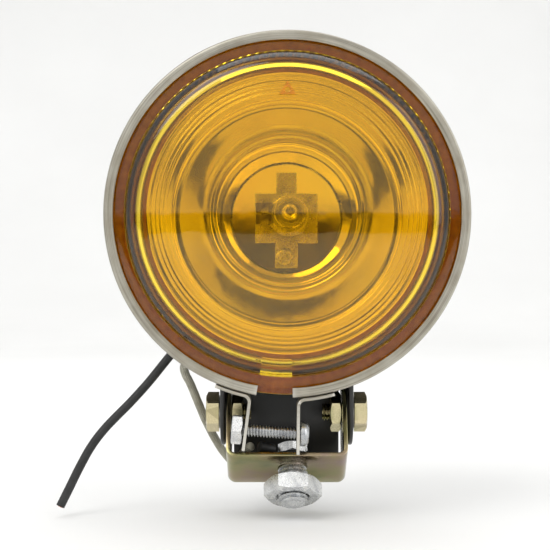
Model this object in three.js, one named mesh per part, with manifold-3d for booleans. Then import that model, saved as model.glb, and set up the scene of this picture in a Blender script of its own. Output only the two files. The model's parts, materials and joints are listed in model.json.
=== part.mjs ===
// Round fog light on a small U-bracket with a threaded mounting stud.
// Millimetres, +Z up, the lamp shines towards -Y. The origin is on the stud's axis,
// at the outer face of the bracket that seats on the vehicle.
import * as THREE from "three";
import { mergeVertices } from "three/addons/utils/BufferGeometryUtils.js";
import Module from "manifold-3d";

const wasm = await Module();
wasm.setup();

// ---- Driving dimensions ----
const GAP = 0.3; // clearance between neighbouring pieces
const SEAT = 0.1; // clearance between faces square to X, which stack exactly
const ROUND = 60; // facets on a full circle of the lamp
const SMALL_ROUND = 20; // facets on small round pieces
const BULB_ROUND = 28; // facets round the bulb and the stud's pieces
const WELD = 1e-3; // points nearer than this are one point
const TRIM = 0.01; // taken off an edge so that two faces don't coincide in a cut
const OVERCUT = 1; // how far a cutting tool runs past the face it cuts

// Rim stack: everything clamped inside the band, measured back from the rim's front plane
const RIM_R = 60; // outside radius of the band
const BAND_WALL = 0.8;
const BAND_LIP = 3.3; // how far the front lip reaches in over the glass
const REAR_LIP = 3.1;
const GLASS_FLANGE = 3.5; // thickness of the lens flange
const GASKET_THICK = 1.5;
const REFLECTOR_WALL = 0.8;
const SHELL_WALL = 1.0;
const BAND_SLOT = 12; // open gap between the band's two ends
const BAND_TURN = 4; // degrees, the band's split sits a little to one side

// Lens
const FLANGE_SHOWN = 3.4; // flat glass between the band's lip and the foot of the dome
const DOME_RISE = 12.7; // how far the glass bulges in front of the rim plane
const SHOULDER_RUN = 7.3; // width of the rounded shoulder outside the face
const FACE_SAG = 4.7; // how much the face curves back before the shoulder
const GLASS_WALL = 3;
const SHOULDER_WALL = 2.1; // how far the inside shoulder lies in from the outside one

// Reflector and gasket
const REFLECTOR_FLANGE = 12.9; // width of the flat rim round the mouth
const GASKET_BACK = 0.9; // gasket's inner edge, outside the mouth
const FOCUS = 15.5; // focal length of the parabola
const CUP_R = 19.6; // radius of the flat recess behind the bulb
const CUP_DEPTH = 3.4;
const BULB_HOLE_ROOM = 0.96; // round the bulb's base, which sits off the lamp's axis

// Shell
const SHELL_FLANGE = 4.9; // width of the flange that the band clamps
const SHELL_TAPER = 0.6;
const DRUM_END = 34; // depth where the straight wall turns into the rounded back
const CABLE_ROOM = 10.27; // behind the bulb's connector
const BACK_R = 18; // flat at the very back

// Bulb and its holder
const BULB_X = 1;
const BULB_Z = 1.3;
const HOLDER_W = 22;
const HOLDER_H = 17.5;
const HOLDER_THICK = 1;
const TONGUE_W = 7.1;
const TONGUE_TOP = 16.1;
const FOOT_W = 8;
const FOOT_BOTTOM = 17.6;
const HOLDER_SCREW_R = 3.2; // head
const HOLDER_SHANK_R = 1.6;
const HOLDER_SCREW_X = -0.8;
const HOLDER_SCREW_Z = -13.8;
const HOLDER_SCREW_HEAD = 1.6;
const HOLDER_SCREW_EDGE = 0.8; // width and height of the head's sloping edge
const HOLDER_SCREW_OUT = 3.5; // shank behind the recess
const COLLAR_REACH = 1.8; // how far the collar stands out from the base
const COLLAR_THICK = 1.2;
const BASE_R = 5.9;
const BASE_LENGTH = 8.5;
const BASE_TAPER = 1.5; // width and height of the cone at the base's end
const GLASS_R = 5.6;
const BULB_LENGTH = 25;
const BULB_GLASS_WALL = 0.8;
const PIP_R = 2; // sealed tip of the glass
const PIP_LENGTH = 3;
const GLASS_SHOULDER = 8.5; // length over which the glass draws in to its tip
const FILAMENT_R = 0.8;
const FILAMENT_LENGTH = 5;
const POST_R = 0.4;
const CLIP_THICK = 0.5;
const CLIP_W = 7.8;
const CLIP_TOP = 5.5;
const CLIP_FOOT = 0.8; // length of the clip's sloping foot
const CLIP_REST = 0.9; // where the clip bends, outside the collar
const CLIP_LIFT = 0.3;
const CONNECTOR_R = 3.2;
const CONNECTOR_LENGTH = 5.5;
const CONNECTOR_NOSE = 2; // length of the sloping end where the wire leaves

// Clamp ears and their screw
const EAR_THICK = 1;
const EAR_FOOT_FROM = 18.7; // degrees from the bottom, where the ear's foot starts
const EAR_FOOT_TO = 9.9;
const EAR_X = 7.9; // half the distance between the legs at the bend
const EAR_SPLAY = 0.06; // sideways lean of a leg for each millimetre down
const EAR_LENGTH = 18; // how far the ears hang below the rim
const EAR_BEND = 3.2; // length of the rounded bend
const SCREW_BELOW = 11.7; // clamp screw below the rim
const CLAMP_SCREW_R = 2;
const CLAMP_POINT = 0.4; // chamfer at the screw's end
const CLAMP_HEAD_R = 4;
const CLAMP_HEAD = 2.9;
const CLAMP_HEAD_SIDE = 1.6; // straight side of the pan head
const CLAMP_HEAD_TOP_R = 2.9;
const CLAMP_HEAD_CROWN = 0.2; // rise of the head's top above its rounded edge
const CLAMP_NUT_AF = 9;
const CLAMP_NUT = 3.6;
const CLAMP_NUT_TURN = 30; // a flat faces down, clear of the ear's bend

// Pivot between the lamp and the bracket
const PIVOT_BELOW = 13.5; // below the shell
const BRACKET_CLEAR = 0.245; // bracket's front edge behind the band, with the lamp upright
const LEG_HALF = 20.4; // half the bracket's outside width
const SHEET = 1.4; // bracket thickness
const DISC_THICK = 0.5;
const LUG_THICK = 1.6;
const LUG_R = 11.4;
const WEB_CLEAR = 0.4; // from the bracket's legs in to the saddle's web
const WEB_SWEEP = 1.05; // from the bracket's floor to the web's lower edge at the lowest of its swing
const DISC_R = 10.6;
const WASHER_THICK = 0.5;
const WASHER_R = 5.7;
const PIVOT_AF = 12;
const PIVOT_HEAD = 4.4;
const PIVOT_R = 3.2;
const PIVOT_NUT = 3.9;
const PIVOT_THREAD_OUT = 2.6; // thread that stands out of the nut

// U-bracket and mounting stud
const LEAN = 32; // degrees, how far the bracket leans forward under the lamp
const PIVOT_HEIGHT = 21.75; // pivot above the bracket's seat face
const BRACKET_W = 22;
const BRACKET_BEND = 3;
const STUD_OFFSET = 2; // stud to the right of the lamp's centre
const STUD_R = 5;
const STUD_LENGTH = 12.5;
const STUD_CHAMFER = 1;
const STUD_RECESS = 0.5; // depth that the stud's shoulder is let into the bracket's underside
const STEM_R = 3; // thinner top of the stud, through the bracket
const STEM_TOP = 8.8;
const MOUNT_NUT_AF = 17;
const MOUNT_NUT = 6;
const PANEL_GAP = 4.4; // room between the seat face and the mounting nut
const PAD_R = 8.5;
const PAD_THICK = 1.9;
const PAD_CHAMFER = 0.6;
const TERMINAL_R = 5.5;
const TERMINAL_THICK = 0.7;
const TERMINAL_TONGUE = 3; // width of the strip that the lead is crimped in
const TERMINAL_TURN = 205; // degrees, where the earth terminal points
const SLEEVE_R = 2;
const SLEEVE_CLEAR = 1.227; // from the top nut's corner
const SLEEVE_LENGTH = 5.6;
const TOP_NUT_AF = 10;
const TOP_NUT = 3.6;

// Wires
const WIRE_R = 1.5;
const WIRE_SIDES = 8;
const WIRE_STEP = 4; // length of one step of the tube
const GROMMET_CLEAR = 5.415; // from the saddle's lug, round the shell
const GROMMET_DEPTH = 28;
const GROMMET_R = 6.5;
const GROMMET_EDGE = 1; // width of the sloping edge
const GROMMET_NECK_R = 4.7;
const GROMMET_INNER_R = 6;
const GROMMET_OUT = 2.5;
const GROMMET_IN = 2.3;
const WIRE_SPACING = 2.8; // each wire from the grommet's centre

// Free end of the feed lead, from the grommet's face to its cut end
const FEED_ROUTE = [
  [-39.0, 8.5, 42.3], [-40.7, 8.5, 40.0], [-42.9, 8.5, 37.3], [-45.8, 8.4, 33.7],
  [-49.1, 8.1, 29.6], [-52.6, 7.6, 25.6], [-56.4, 7.1, 21.5], [-60.6, 6.5, 17.3],
  [-64.4, 6.0, 13.3], [-67.6, 5.5, 9.3], [-70.2, 5.0, 5.3], [-72.4, 4.5, 1.2],
  [-74.4, 4.0, -2.8], [-76.3, 3.5, -6.8], [-78.3, 3.0, -10.9], [-79.3, 2.7, -13.0],
];

// Earth lead, from the grommet's face round the bracket's rear edge to its terminal
const EARTH_ROUTE = [
  [-34.6, 8.5, 38.9], [-36.3, 8.7, 36.7], [-37.6, 10.6, 34.0], [-37.2, 13.6, 31.2],
  [-35.6, 16.8, 27.4], [-33.2, 19.8, 20.9], [-30.6, 21.8, 14.2], [-27.9, 23.6, 8.6],
  [-25.4, 24.6, 4.2], [-22.9, 24.3, 1.0], [-20.6, 21.6, -0.8], [-19.2, 17.6, -1.2],
  [-18.4, 13.2, -0.4], [-18.0, 9.6, 1.6], [-17.5, 5.8, 4.0], [-16.2, 2.2, 6.2],
  [-14.1, -0.6, 8.0],
];

// Middle of the inside run, about the lamp's axis and behind the bulb's connector
const INNER_BENDS = [
  [-4, 6.5, -4], [-14, 5, -17], [-23, -3, -28],
];

// ---- Worked-out sizes and places ----
const rad = THREE.MathUtils.degToRad;
const Y_FLANGE = BAND_WALL + GAP;
const Y_GASKET = Y_FLANGE + GLASS_FLANGE + GAP;
const Y_REFLECTOR = Y_GASKET + GASKET_THICK + GAP;
const Y_SHELL = Y_REFLECTOR + REFLECTOR_WALL + GAP;
const Y_REAR_LIP = Y_SHELL + SHELL_WALL + GAP;
const BAND_DEPTH = Y_REAR_LIP + BAND_WALL;
const STACK_R = RIM_R - BAND_WALL - GAP; // outside radius of what the band clamps
const DOME_R = RIM_R - BAND_LIP - FLANGE_SHOWN;
const SHOULDER_R = DOME_R - SHOULDER_RUN;
const MOUTH_R = STACK_R - REFLECTOR_FLANGE;
const GASKET_IN_R = MOUTH_R + GASKET_BACK;
const SHELL_R = STACK_R - SHELL_FLANGE;
const COLLAR_R = BASE_R + COLLAR_REACH;
const BULB_HOLE_R = BASE_R + Math.hypot(BULB_X, BULB_Z) + BULB_HOLE_ROOM;
const Y_VERTEX = Y_REFLECTOR + (MOUTH_R * MOUTH_R) / (4 * FOCUS);
const Y_CUP = Y_VERTEX - (CUP_R * CUP_R) / (4 * FOCUS) + CUP_DEPTH;
const Y_HOLDER = Y_CUP - GAP - HOLDER_THICK;
const Y_COLLAR = Y_HOLDER - GAP - COLLAR_THICK;
const Y_BULB_END = Y_COLLAR + COLLAR_THICK + BASE_LENGTH;
const Y_CONNECTOR_END = Y_BULB_END + GAP + CONNECTOR_LENGTH;
const SHELL_DEPTH = Y_CONNECTOR_END + CABLE_ROOM + SHELL_WALL;
const EAR_BOTTOM = RIM_R + EAR_LENGTH;
const SCREW_DROP = RIM_R + SCREW_BELOW;
const PIVOT_DROP = SHELL_R + PIVOT_BELOW;
const WEB_DROP = Math.sqrt((PIVOT_HEIGHT - SHEET - WEB_SWEEP) ** 2 - LUG_R ** 2); // below the pivot
const BRACKET_FORWARD = (BRACKET_W / 2) * Math.cos(rad(LEAN)) + PIVOT_HEIGHT * Math.sin(rad(LEAN));
const PIVOT_DEPTH = BAND_DEPTH + BRACKET_CLEAR + BRACKET_FORWARD;
const X_DISC = LEG_HALF + SEAT;
const X_LUG = X_DISC + DISC_THICK + SEAT;
const X_WASHER = X_LUG + LUG_THICK + SEAT;
const X_HEAD = X_WASHER + WASHER_THICK + SEAT;
const X_NUT = LEG_HALF - SHEET - SEAT;
const Z_PAD = SHEET + GAP;
const Z_TERMINAL = Z_PAD + PAD_THICK + GAP;
const Z_TOP_NUT = Z_TERMINAL + TERMINAL_THICK + GAP;
const PIVOT_HOLE_R = PIVOT_R + GAP;
const STEM_HOLE_R = STEM_R + GAP;
const SLEEVE_FROM = TOP_NUT_AF / Math.sqrt(3) + SLEEVE_CLEAR;
const LUG_ANGLE = Math.asin((X_LUG + LUG_THICK) / SHELL_R);
const GROMMET_ANGLE = LUG_ANGLE + (GROMMET_R + GROMMET_CLEAR) / SHELL_R; // from the bottom
const SHELL_INNER_R = SHELL_R - SHELL_TAPER - SHELL_WALL;
const GROMMET_SEAT_R = Math.sqrt(SHELL_INNER_R ** 2 - GROMMET_INNER_R ** 2) - GAP;
const GROMMET_INNER_FACE = GROMMET_SEAT_R - GROMMET_IN;

// ---- Solids ----
function solid(geometry) {
  const loose = geometry.index ? geometry.toNonIndexed() : geometry;
  const bare = new THREE.BufferGeometry();
  bare.setAttribute("position", loose.getAttribute("position"));
  const merged = mergeVertices(bare, WELD);
  const vertProperties = merged.attributes.position.array;
  const triVerts = new Uint32Array(merged.index.array);
  return new wasm.Manifold(new wasm.Mesh({ numProp: 3, vertProperties, triVerts }));
}

function geometryOf(body) {
  const mesh = body.getMesh();
  const geometry = new THREE.BufferGeometry();
  geometry.setAttribute("position", new THREE.BufferAttribute(mesh.vertProperties, 3));
  geometry.setIndex(new THREE.BufferAttribute(mesh.triVerts, 1));
  return geometry.toNonIndexed();
}

function cut(geometry, ...tools) {
  let body = solid(geometry);
  for (const tool of tools) body = body.subtract(solid(tool));
  return geometryOf(body);
}

function join(geometry, ...others) {
  let body = solid(geometry);
  for (const other of others) body = body.add(solid(other));
  return geometryOf(body);
}

// A solid of revolution about Y from a profile of [radius, y], which closes on itself.
function turned(profile, facets = ROUND) {
  const points = profile.map(([r, y]) => new THREE.Vector2(r, y));
  const closed = profile[0][0] === 0 && profile.at(-1)[0] === 0;
  if (!closed) points.push(points[0].clone());
  return new THREE.LatheGeometry(points, facets);
}

function rod(radius, from, to, axis, facets = SMALL_ROUND) {
  const length = to - from;
  const geometry = new THREE.CylinderGeometry(radius, radius, length, facets);
  geometry.translate(0, (from + to) / 2, 0);
  return pointed(geometry, axis);
}

// Turns a shape drawn along +Y to lie along another axis.
function pointed(geometry, axis) {
  if (axis === "x") geometry.rotateZ(-Math.PI / 2);
  if (axis === "z") geometry.rotateX(Math.PI / 2);
  return geometry;
}

// A hexagonal bar with flats facing +Y and -Y, or with corners there.
function hexBar(acrossFlats, from, to, axis, cornerForward = false) {
  const radius = acrossFlats / Math.sqrt(3);
  const geometry = new THREE.CylinderGeometry(radius, radius, to - from, 6);
  const turnedBar = (axis === "z") !== cornerForward;
  if (turnedBar) geometry.rotateY(Math.PI / 6);
  geometry.translate(0, (from + to) / 2, 0);
  return pointed(geometry, axis);
}

function hexNut(acrossFlats, from, to, axis, boreR, cornerForward = false) {
  const bore = rod(boreR, from - OVERCUT, to + OVERCUT, axis);
  return cut(hexBar(acrossFlats, from, to, axis, cornerForward), bore);
}

function washer(innerR, outerR, from, to, axis, facets = SMALL_ROUND) {
  const ring = turned([[innerR, from], [outerR, from], [outerR, to], [innerR, to]], facets);
  return pointed(ring, axis);
}

// A bent strip: a centre line in the XZ plane given a thickness, as wide as width along +Y.
function bentStrip(points, thickness, width) {
  const line = points.filter((p, i) => i === 0 || p.distanceTo(points[i - 1]) > WELD);
  const normals = line.slice(1).map((point, i) => {
    const along = point.clone().sub(line[i]).normalize();
    return new THREE.Vector2(-along.y, along.x);
  });
  const sides = [1, -1].map((side) =>
    line.map((point, i) => {
      const before = normals[Math.max(i - 1, 0)];
      const after = normals[Math.min(i, normals.length - 1)];
      const mitre = before.clone().add(after).normalize();
      mitre.multiplyScalar((side * thickness) / 2 / mitre.dot(before));
      return point.clone().add(mitre);
    }),
  );
  const shape = new THREE.Shape([...sides[0], ...sides[1].reverse()]);
  const strip = new THREE.ExtrudeGeometry(shape, { depth: width, bevelEnabled: false });
  strip.rotateX(Math.PI / 2);
  strip.translate(0, width, 0);
  return strip;
}

// A plate whose outline lies in the YZ plane, between two values of X.
function sidePlate(shape, fromX, toX) {
  const plate = new THREE.ExtrudeGeometry(shape, {
    depth: toX - fromX,
    bevelEnabled: false,
    curveSegments: SMALL_ROUND,
  });
  // The shape's x and y become the plate's Y and Z.
  plate.rotateZ(Math.PI / 2);
  plate.rotateY(Math.PI / 2);
  plate.translate(fromX, 0, 0);
  return plate;
}

// An outline with a half-round end of the given radius about (0, 0) and straight sides along y.
function tongueOutline(radius, reach) {
  const shape = new THREE.Shape();
  const far = Math.sign(reach);
  shape.moveTo(-radius, reach);
  shape.lineTo(-radius, 0);
  shape.absarc(0, 0, radius, Math.PI, 0, far < 0);
  shape.lineTo(radius, reach);
  shape.closePath();
  return shape;
}

function wire(route, radius) {
  const curve = new THREE.CatmullRomCurve3(route.map((p) => new THREE.Vector3(...p)));
  const section = new THREE.Shape();
  for (let i = 0; i < WIRE_SIDES; i += 1) {
    const angle = (2 * Math.PI * i) / WIRE_SIDES;
    const x = radius * Math.cos(angle);
    const y = radius * Math.sin(angle);
    if (i === 0) section.moveTo(x, y);
    else section.lineTo(x, y);
  }
  section.closePath();
  const steps = Math.ceil(curve.getLength() / WIRE_STEP);
  return new THREE.ExtrudeGeometry(section, { steps, extrudePath: curve });
}

// ---- Materials ----
function finish(color, roughness, metalness, extra = {}) {
  return new THREE.MeshStandardMaterial({ color, roughness, metalness, ...extra });
}

const amberGlass = () => finish(0xe59a14, 0.08, 0, { transparent: true, opacity: 0.6 });
const clearGlass = () => finish(0xf2f2ea, 0.05, 0, { transparent: true, opacity: 0.35 });
const bandSteel = () => finish(0xaaa798, 0.45, 0.9);
const blackPaint = () => finish(0x1c1d1c, 0.45, 0.1);
const mirrorMetal = () => finish(0xd9d9d2, 0.12, 1);
const yellowZinc = () => finish(0xa89a62, 0.35, 0.9);
const brightZinc = () => finish(0xb9bcbd, 0.35, 0.9);
const blackRubber = () => finish(0x151515, 0.7, 0);
const fibre = () => finish(0x1b1a19, 0.85, 0);
const cork = () => finish(0x9a3f1c, 0.9, 0);
const springSteel = () => finish(0x4d4b46, 0.4, 0.9);
const tungsten = () => finish(0x8a8a88, 0.4, 1);
const creamBraid = () => finish(0xb8b39c, 0.75, 0.2);
const blackPlastic = () => finish(0x141414, 0.5, 0);

function part(parent, name, geometry, material) {
  const mesh = new THREE.Mesh(geometry, material);
  mesh.name = name;
  parent.add(mesh);
  return mesh;
}

// ---- Rim stack ----
function band() {
  const inner = RIM_R - BAND_WALL;
  const ring = turned([
    [RIM_R - BAND_LIP, 0], [RIM_R, 0],
    [RIM_R, BAND_DEPTH], [RIM_R - REAR_LIP, BAND_DEPTH],
    [RIM_R - REAR_LIP, Y_REAR_LIP], [inner, Y_REAR_LIP],
    [inner, BAND_WALL], [RIM_R - BAND_LIP, BAND_WALL],
  ]);
  const slot = new THREE.BoxGeometry(BAND_SLOT, 2 * BAND_DEPTH, RIM_R);
  slot.translate(0, BAND_DEPTH / 2, -RIM_R);
  return cut(ring, slot);
}

// Points on a spherical cap and then a quarter ellipse down to the flange.
function domeLine(capR, capY, sag, wallR, wallY) {
  const line = [];
  const sphere = (capR * capR + sag * sag) / (2 * sag);
  const steps = 4;
  for (let i = 0; i <= steps; i += 1) {
    const r = (capR * i) / steps;
    line.push([r, capY + sphere - Math.sqrt(sphere * sphere - r * r)]);
  }
  const edgeY = capY + sag;
  for (let i = 1; i <= steps; i += 1) {
    const angle = (Math.PI / 2) * (i / steps);
    const r = capR + (wallR - capR) * Math.sin(angle);
    line.push([r, wallY - (wallY - edgeY) * Math.cos(angle)]);
  }
  return line;
}

function lens() {
  const rear = Y_FLANGE + GLASS_FLANGE;
  const outer = domeLine(SHOULDER_R, -DOME_RISE, FACE_SAG, DOME_R, Y_FLANGE);
  const inside = domeLine(
    SHOULDER_R - SHOULDER_WALL, GLASS_WALL - DOME_RISE, FACE_SAG, DOME_R - GLASS_WALL, rear,
  );
  return turned([...outer, [STACK_R, Y_FLANGE], [STACK_R, rear], ...inside.reverse()]);
}

function gasket() {
  return washer(GASKET_IN_R, STACK_R, Y_GASKET, Y_GASKET + GASKET_THICK, "y", ROUND);
}

// Points down the parabola from the mouth to the recess.
function bowlLine(shiftR, shiftY) {
  const line = [];
  const steps = 6;
  for (let i = 0; i <= steps; i += 1) {
    const r = MOUTH_R + ((CUP_R - MOUTH_R) * i) / steps;
    line.push([r + shiftR, Y_VERTEX - (r * r) / (4 * FOCUS) + shiftY]);
  }
  return line;
}

function reflector() {
  const t = REFLECTOR_WALL;
  const front = bowlLine(0, 0);
  const back = bowlLine(t, t);
  const bowl = turned([
    ...front, [CUP_R, Y_CUP], [BULB_HOLE_R, Y_CUP],
    [BULB_HOLE_R, Y_CUP + t], [CUP_R + t, Y_CUP + t], ...back.reverse(),
    [STACK_R, Y_REFLECTOR + t], [STACK_R, Y_REFLECTOR],
  ].reverse());
  return cut(bowl, holderScrewHole(Y_CUP, t));
}

// Points round the shell from its flange to the flat at the back.
function shellLine(inset) {
  const drumR = SHELL_R - SHELL_TAPER;
  const line = [[SHELL_R - inset, Y_SHELL + SHELL_WALL], [drumR - inset, DRUM_END]];
  const steps = 6;
  for (let i = 1; i <= steps; i += 1) {
    const angle = (Math.PI / 2) * (i / steps);
    const r = BACK_R + (drumR - BACK_R) * Math.cos(angle);
    const y = DRUM_END + (SHELL_DEPTH - DRUM_END) * Math.sin(angle);
    line.push([r - inset * Math.cos(angle), y - inset * Math.sin(angle)]);
  }
  return line;
}

function shell() {
  const outer = shellLine(0);
  const inner = shellLine(SHELL_WALL);
  inner[0][1] = Y_SHELL;
  const bowl = turned([
    [0, SHELL_DEPTH], ...outer.reverse(), [STACK_R, Y_SHELL + SHELL_WALL], [STACK_R, Y_SHELL],
    ...inner, [0, SHELL_DEPTH - SHELL_WALL],
  ].reverse());
  const neckHole = rod(GROMMET_NECK_R + GAP, GROMMET_SEAT_R - OVERCUT, SHELL_R + OVERCUT, "y");
  return cut(bowl, grommetPlaced(neckHole));
}

// Turns a shape drawn along +Y so that it points out of the shell's side at the grommet.
function grommetPlaced(geometry) {
  geometry.rotateX(-Math.PI / 2);
  geometry.rotateY(GROMMET_ANGLE);
  geometry.translate(0, GROMMET_DEPTH, 0);
  return geometry;
}

function grommet() {
  const outer = SHELL_R + GAP;
  const inner = GROMMET_SEAT_R;
  return grommetPlaced(turned([
    [0, GROMMET_INNER_FACE], [GROMMET_INNER_R, GROMMET_INNER_FACE], [GROMMET_INNER_R, inner],
    [GROMMET_NECK_R, inner], [GROMMET_NECK_R, outer],
    [GROMMET_R, outer], [GROMMET_R - GROMMET_EDGE, outer + GROMMET_OUT], [0, outer + GROMMET_OUT],
  ], SMALL_ROUND));
}

// ---- Bulb and holder, about the lamp's axis ----
function atBulb(geometry) {
  geometry.translate(BULB_X, 0, BULB_Z);
  return geometry;
}

function holderScrewHole(front, wall) {
  const hole = rod(HOLDER_SHANK_R + GAP, front - OVERCUT, front + wall + OVERCUT, "y");
  hole.translate(HOLDER_SCREW_X, 0, HOLDER_SCREW_Z);
  return hole;
}

function holderPlate() {
  const half = HOLDER_W / 2;
  const top = HOLDER_H / 2;
  const shape = new THREE.Shape();
  const outline = [
    [-half, -top], [-FOOT_W / 2, -top], [-FOOT_W / 2, -FOOT_BOTTOM], [FOOT_W / 2, -FOOT_BOTTOM],
    [FOOT_W / 2, -top], [half, -top], [half, top], [TONGUE_W / 2, top],
    [TONGUE_W / 2, TONGUE_TOP], [-TONGUE_W / 2, TONGUE_TOP], [-TONGUE_W / 2, top], [-half, top],
  ];
  outline.forEach(([x, y], i) => (i ? shape.lineTo(x, y) : shape.moveTo(x, y)));
  shape.closePath();
  const plate = new THREE.ExtrudeGeometry(shape, { depth: HOLDER_THICK, bevelEnabled: false });
  plate.rotateX(Math.PI / 2);
  const rear = Y_HOLDER + HOLDER_THICK;
  plate.translate(0, rear, 0);
  const bulbHole = atBulb(rod(BASE_R + GAP, Y_HOLDER - OVERCUT, rear + OVERCUT, "y"));
  return cut(plate, bulbHole, holderScrewHole(Y_HOLDER, HOLDER_THICK));
}

function holderScrew() {
  const under = Y_HOLDER - GAP;
  const top = under - HOLDER_SCREW_HEAD;
  const end = Y_CUP + HOLDER_SCREW_OUT;
  const screw = turned([
    [0, top], [HOLDER_SCREW_R - HOLDER_SCREW_EDGE, top], [HOLDER_SCREW_R, top + HOLDER_SCREW_EDGE],
    [HOLDER_SCREW_R, under], [HOLDER_SHANK_R, under], [HOLDER_SHANK_R, end], [0, end],
  ], SMALL_ROUND);
  screw.translate(HOLDER_SCREW_X, 0, HOLDER_SCREW_Z);
  return screw;
}

function bulbBase() {
  const rear = Y_COLLAR + COLLAR_THICK;
  return atBulb(turned([
    [0, Y_COLLAR], [COLLAR_R, Y_COLLAR], [COLLAR_R, rear], [BASE_R, rear],
    [BASE_R, Y_BULB_END - BASE_TAPER], [BASE_R - BASE_TAPER, Y_BULB_END], [0, Y_BULB_END],
  ], BULB_ROUND));
}

function bulbGlass() {
  const rear = Y_COLLAR - GAP;
  const tip = rear - BULB_LENGTH;
  const innerR = GLASS_R - BULB_GLASS_WALL;
  const neckY = tip + PIP_LENGTH;
  const shoulderY = tip + GLASS_SHOULDER;
  const middleY = (neckY + shoulderY) / 2;
  return atBulb(turned([
    [0, tip], [PIP_R, tip + BULB_GLASS_WALL], [PIP_R, neckY],
    [(PIP_R + 2 * GLASS_R) / 3, middleY], [GLASS_R, shoulderY], [GLASS_R, rear],
    [innerR, rear], [innerR, shoulderY], [(PIP_R + innerR) / 2, middleY + BULB_GLASS_WALL],
    [0, middleY],
  ], BULB_ROUND));
}

function filament() {
  const y = Y_VERTEX - FOCUS;
  const half = FILAMENT_LENGTH / 2;
  const coil = rod(FILAMENT_R, -half, half, "x", WIRE_SIDES);
  coil.translate(0, y, 0);
  const posts = [-1, 1].map((side) => {
    const post = rod(POST_R, y, Y_COLLAR - 2 * GAP, "y", WIRE_SIDES);
    post.translate(side * (half - POST_R), 0, 0);
    return post;
  });
  return atBulb(join(coil, ...posts));
}

function bulbClip() {
  const foot = -HOLDER_W / 2;
  const raised = Y_COLLAR - GAP - CLIP_LIFT;
  const line = [
    [foot, Y_HOLDER - GAP], [foot + CLIP_FOOT, raised], [BULB_X - COLLAR_R - CLIP_REST, raised],
    [BULB_X - GLASS_R - GAP, raised],
  ];
  const shape = line.map(([x, y]) => new THREE.Vector2(x, y));
  const strip = bentStrip(shape, CLIP_THICK, CLIP_W);
  // The strip is drawn in XZ: its Z becomes depth and its width runs down.
  strip.rotateX(-Math.PI / 2);
  strip.translate(0, 0, CLIP_TOP);
  return strip;
}

function connector() {
  const from = Y_BULB_END + GAP;
  return atBulb(turned([
    [0, from], [CONNECTOR_R, from], [CONNECTOR_R, Y_CONNECTOR_END - CONNECTOR_NOSE],
    [CONNECTOR_R - CONNECTOR_NOSE / 2, Y_CONNECTOR_END], [0, Y_CONNECTOR_END],
  ], SMALL_ROUND));
}

// A point on the feed's hole through the grommet, at a radius from the lamp's axis.
function atFeedHole(radius) {
  const sin = Math.sin(GROMMET_ANGLE);
  const cos = Math.cos(GROMMET_ANGLE);
  return [-radius * sin - WIRE_SPACING * cos, GROMMET_DEPTH, -radius * cos + WIRE_SPACING * sin];
}

function innerLead() {
  const from = Y_CONNECTOR_END;
  const bends = INNER_BENDS.map(([x, y, z]) => [x, from + y, z]);
  return wire([
    [BULB_X, from + GAP, BULB_Z], [BULB_X, from + 2 * WIRE_R, BULB_Z], ...bends,
    atFeedHole(GROMMET_INNER_FACE - 4 * WIRE_R), atFeedHole(GROMMET_INNER_FACE - GAP),
  ], WIRE_R);
}

// ---- Clamp ears and screw, about the lamp's axis, turned with the band ----
function legX(drop) {
  return EAR_X + (drop - RIM_R) * EAR_SPLAY;
}

function ear(side) {
  const footR = RIM_R + GAP + EAR_THICK / 2;
  const line = [];
  const steps = 5;
  for (let i = 0; i <= steps; i += 1) {
    const angle = rad(EAR_FOOT_FROM + ((EAR_FOOT_TO - EAR_FOOT_FROM) * i) / steps);
    line.push(new THREE.Vector2(side * footR * Math.sin(angle), -footR * Math.cos(angle)));
  }
  const start = line.at(-1);
  const corner = new THREE.Vector2(side * legX(RIM_R), -footR);
  const end = new THREE.Vector2(side * legX(RIM_R + EAR_BEND), -footR - EAR_BEND + EAR_THICK);
  const bend = new THREE.QuadraticBezierCurve(start, corner, end).getPoints(5);
  line.push(...bend.slice(1), new THREE.Vector2(side * legX(EAR_BOTTOM), -EAR_BOTTOM));
  const strip = bentStrip(side < 0 ? line : line.reverse(), EAR_THICK, BAND_DEPTH);
  const hole = rod(CLAMP_SCREW_R + GAP, -2 * EAR_X, 2 * EAR_X, "x");
  hole.translate(0, BAND_DEPTH / 2, -SCREW_DROP);
  return cut(strip, hole);
}

function atClampScrew(geometry) {
  geometry.translate(0, BAND_DEPTH / 2, -SCREW_DROP);
  return geometry;
}

// The ears splay, so the nut's lower flat is the part of it nearest to its ear.
function clampNutFace() {
  return legX(SCREW_DROP + CLAMP_NUT_AF / 2) + EAR_THICK / 2 + GAP;
}

function clampScrew() {
  const face = legX(SCREW_DROP) + EAR_THICK / 2 + GAP;
  const tip = -clampNutFace() - CLAMP_NUT;
  const screw = turned([
    [0, tip], [CLAMP_SCREW_R - CLAMP_POINT, tip], [CLAMP_SCREW_R, tip + CLAMP_POINT],
    [CLAMP_SCREW_R, face], [CLAMP_HEAD_R, face], [CLAMP_HEAD_R, face + CLAMP_HEAD_SIDE],
    [CLAMP_HEAD_TOP_R, face + CLAMP_HEAD - CLAMP_HEAD_CROWN], [0, face + CLAMP_HEAD],
  ], SMALL_ROUND);
  return atClampScrew(pointed(screw, "x"));
}

function clampNut() {
  const face = clampNutFace();
  const nut = hexNut(CLAMP_NUT_AF, -face - CLAMP_NUT, -face, "x", CLAMP_SCREW_R + GAP);
  nut.rotateX(rad(CLAMP_NUT_TURN));
  return atClampScrew(nut);
}

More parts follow.
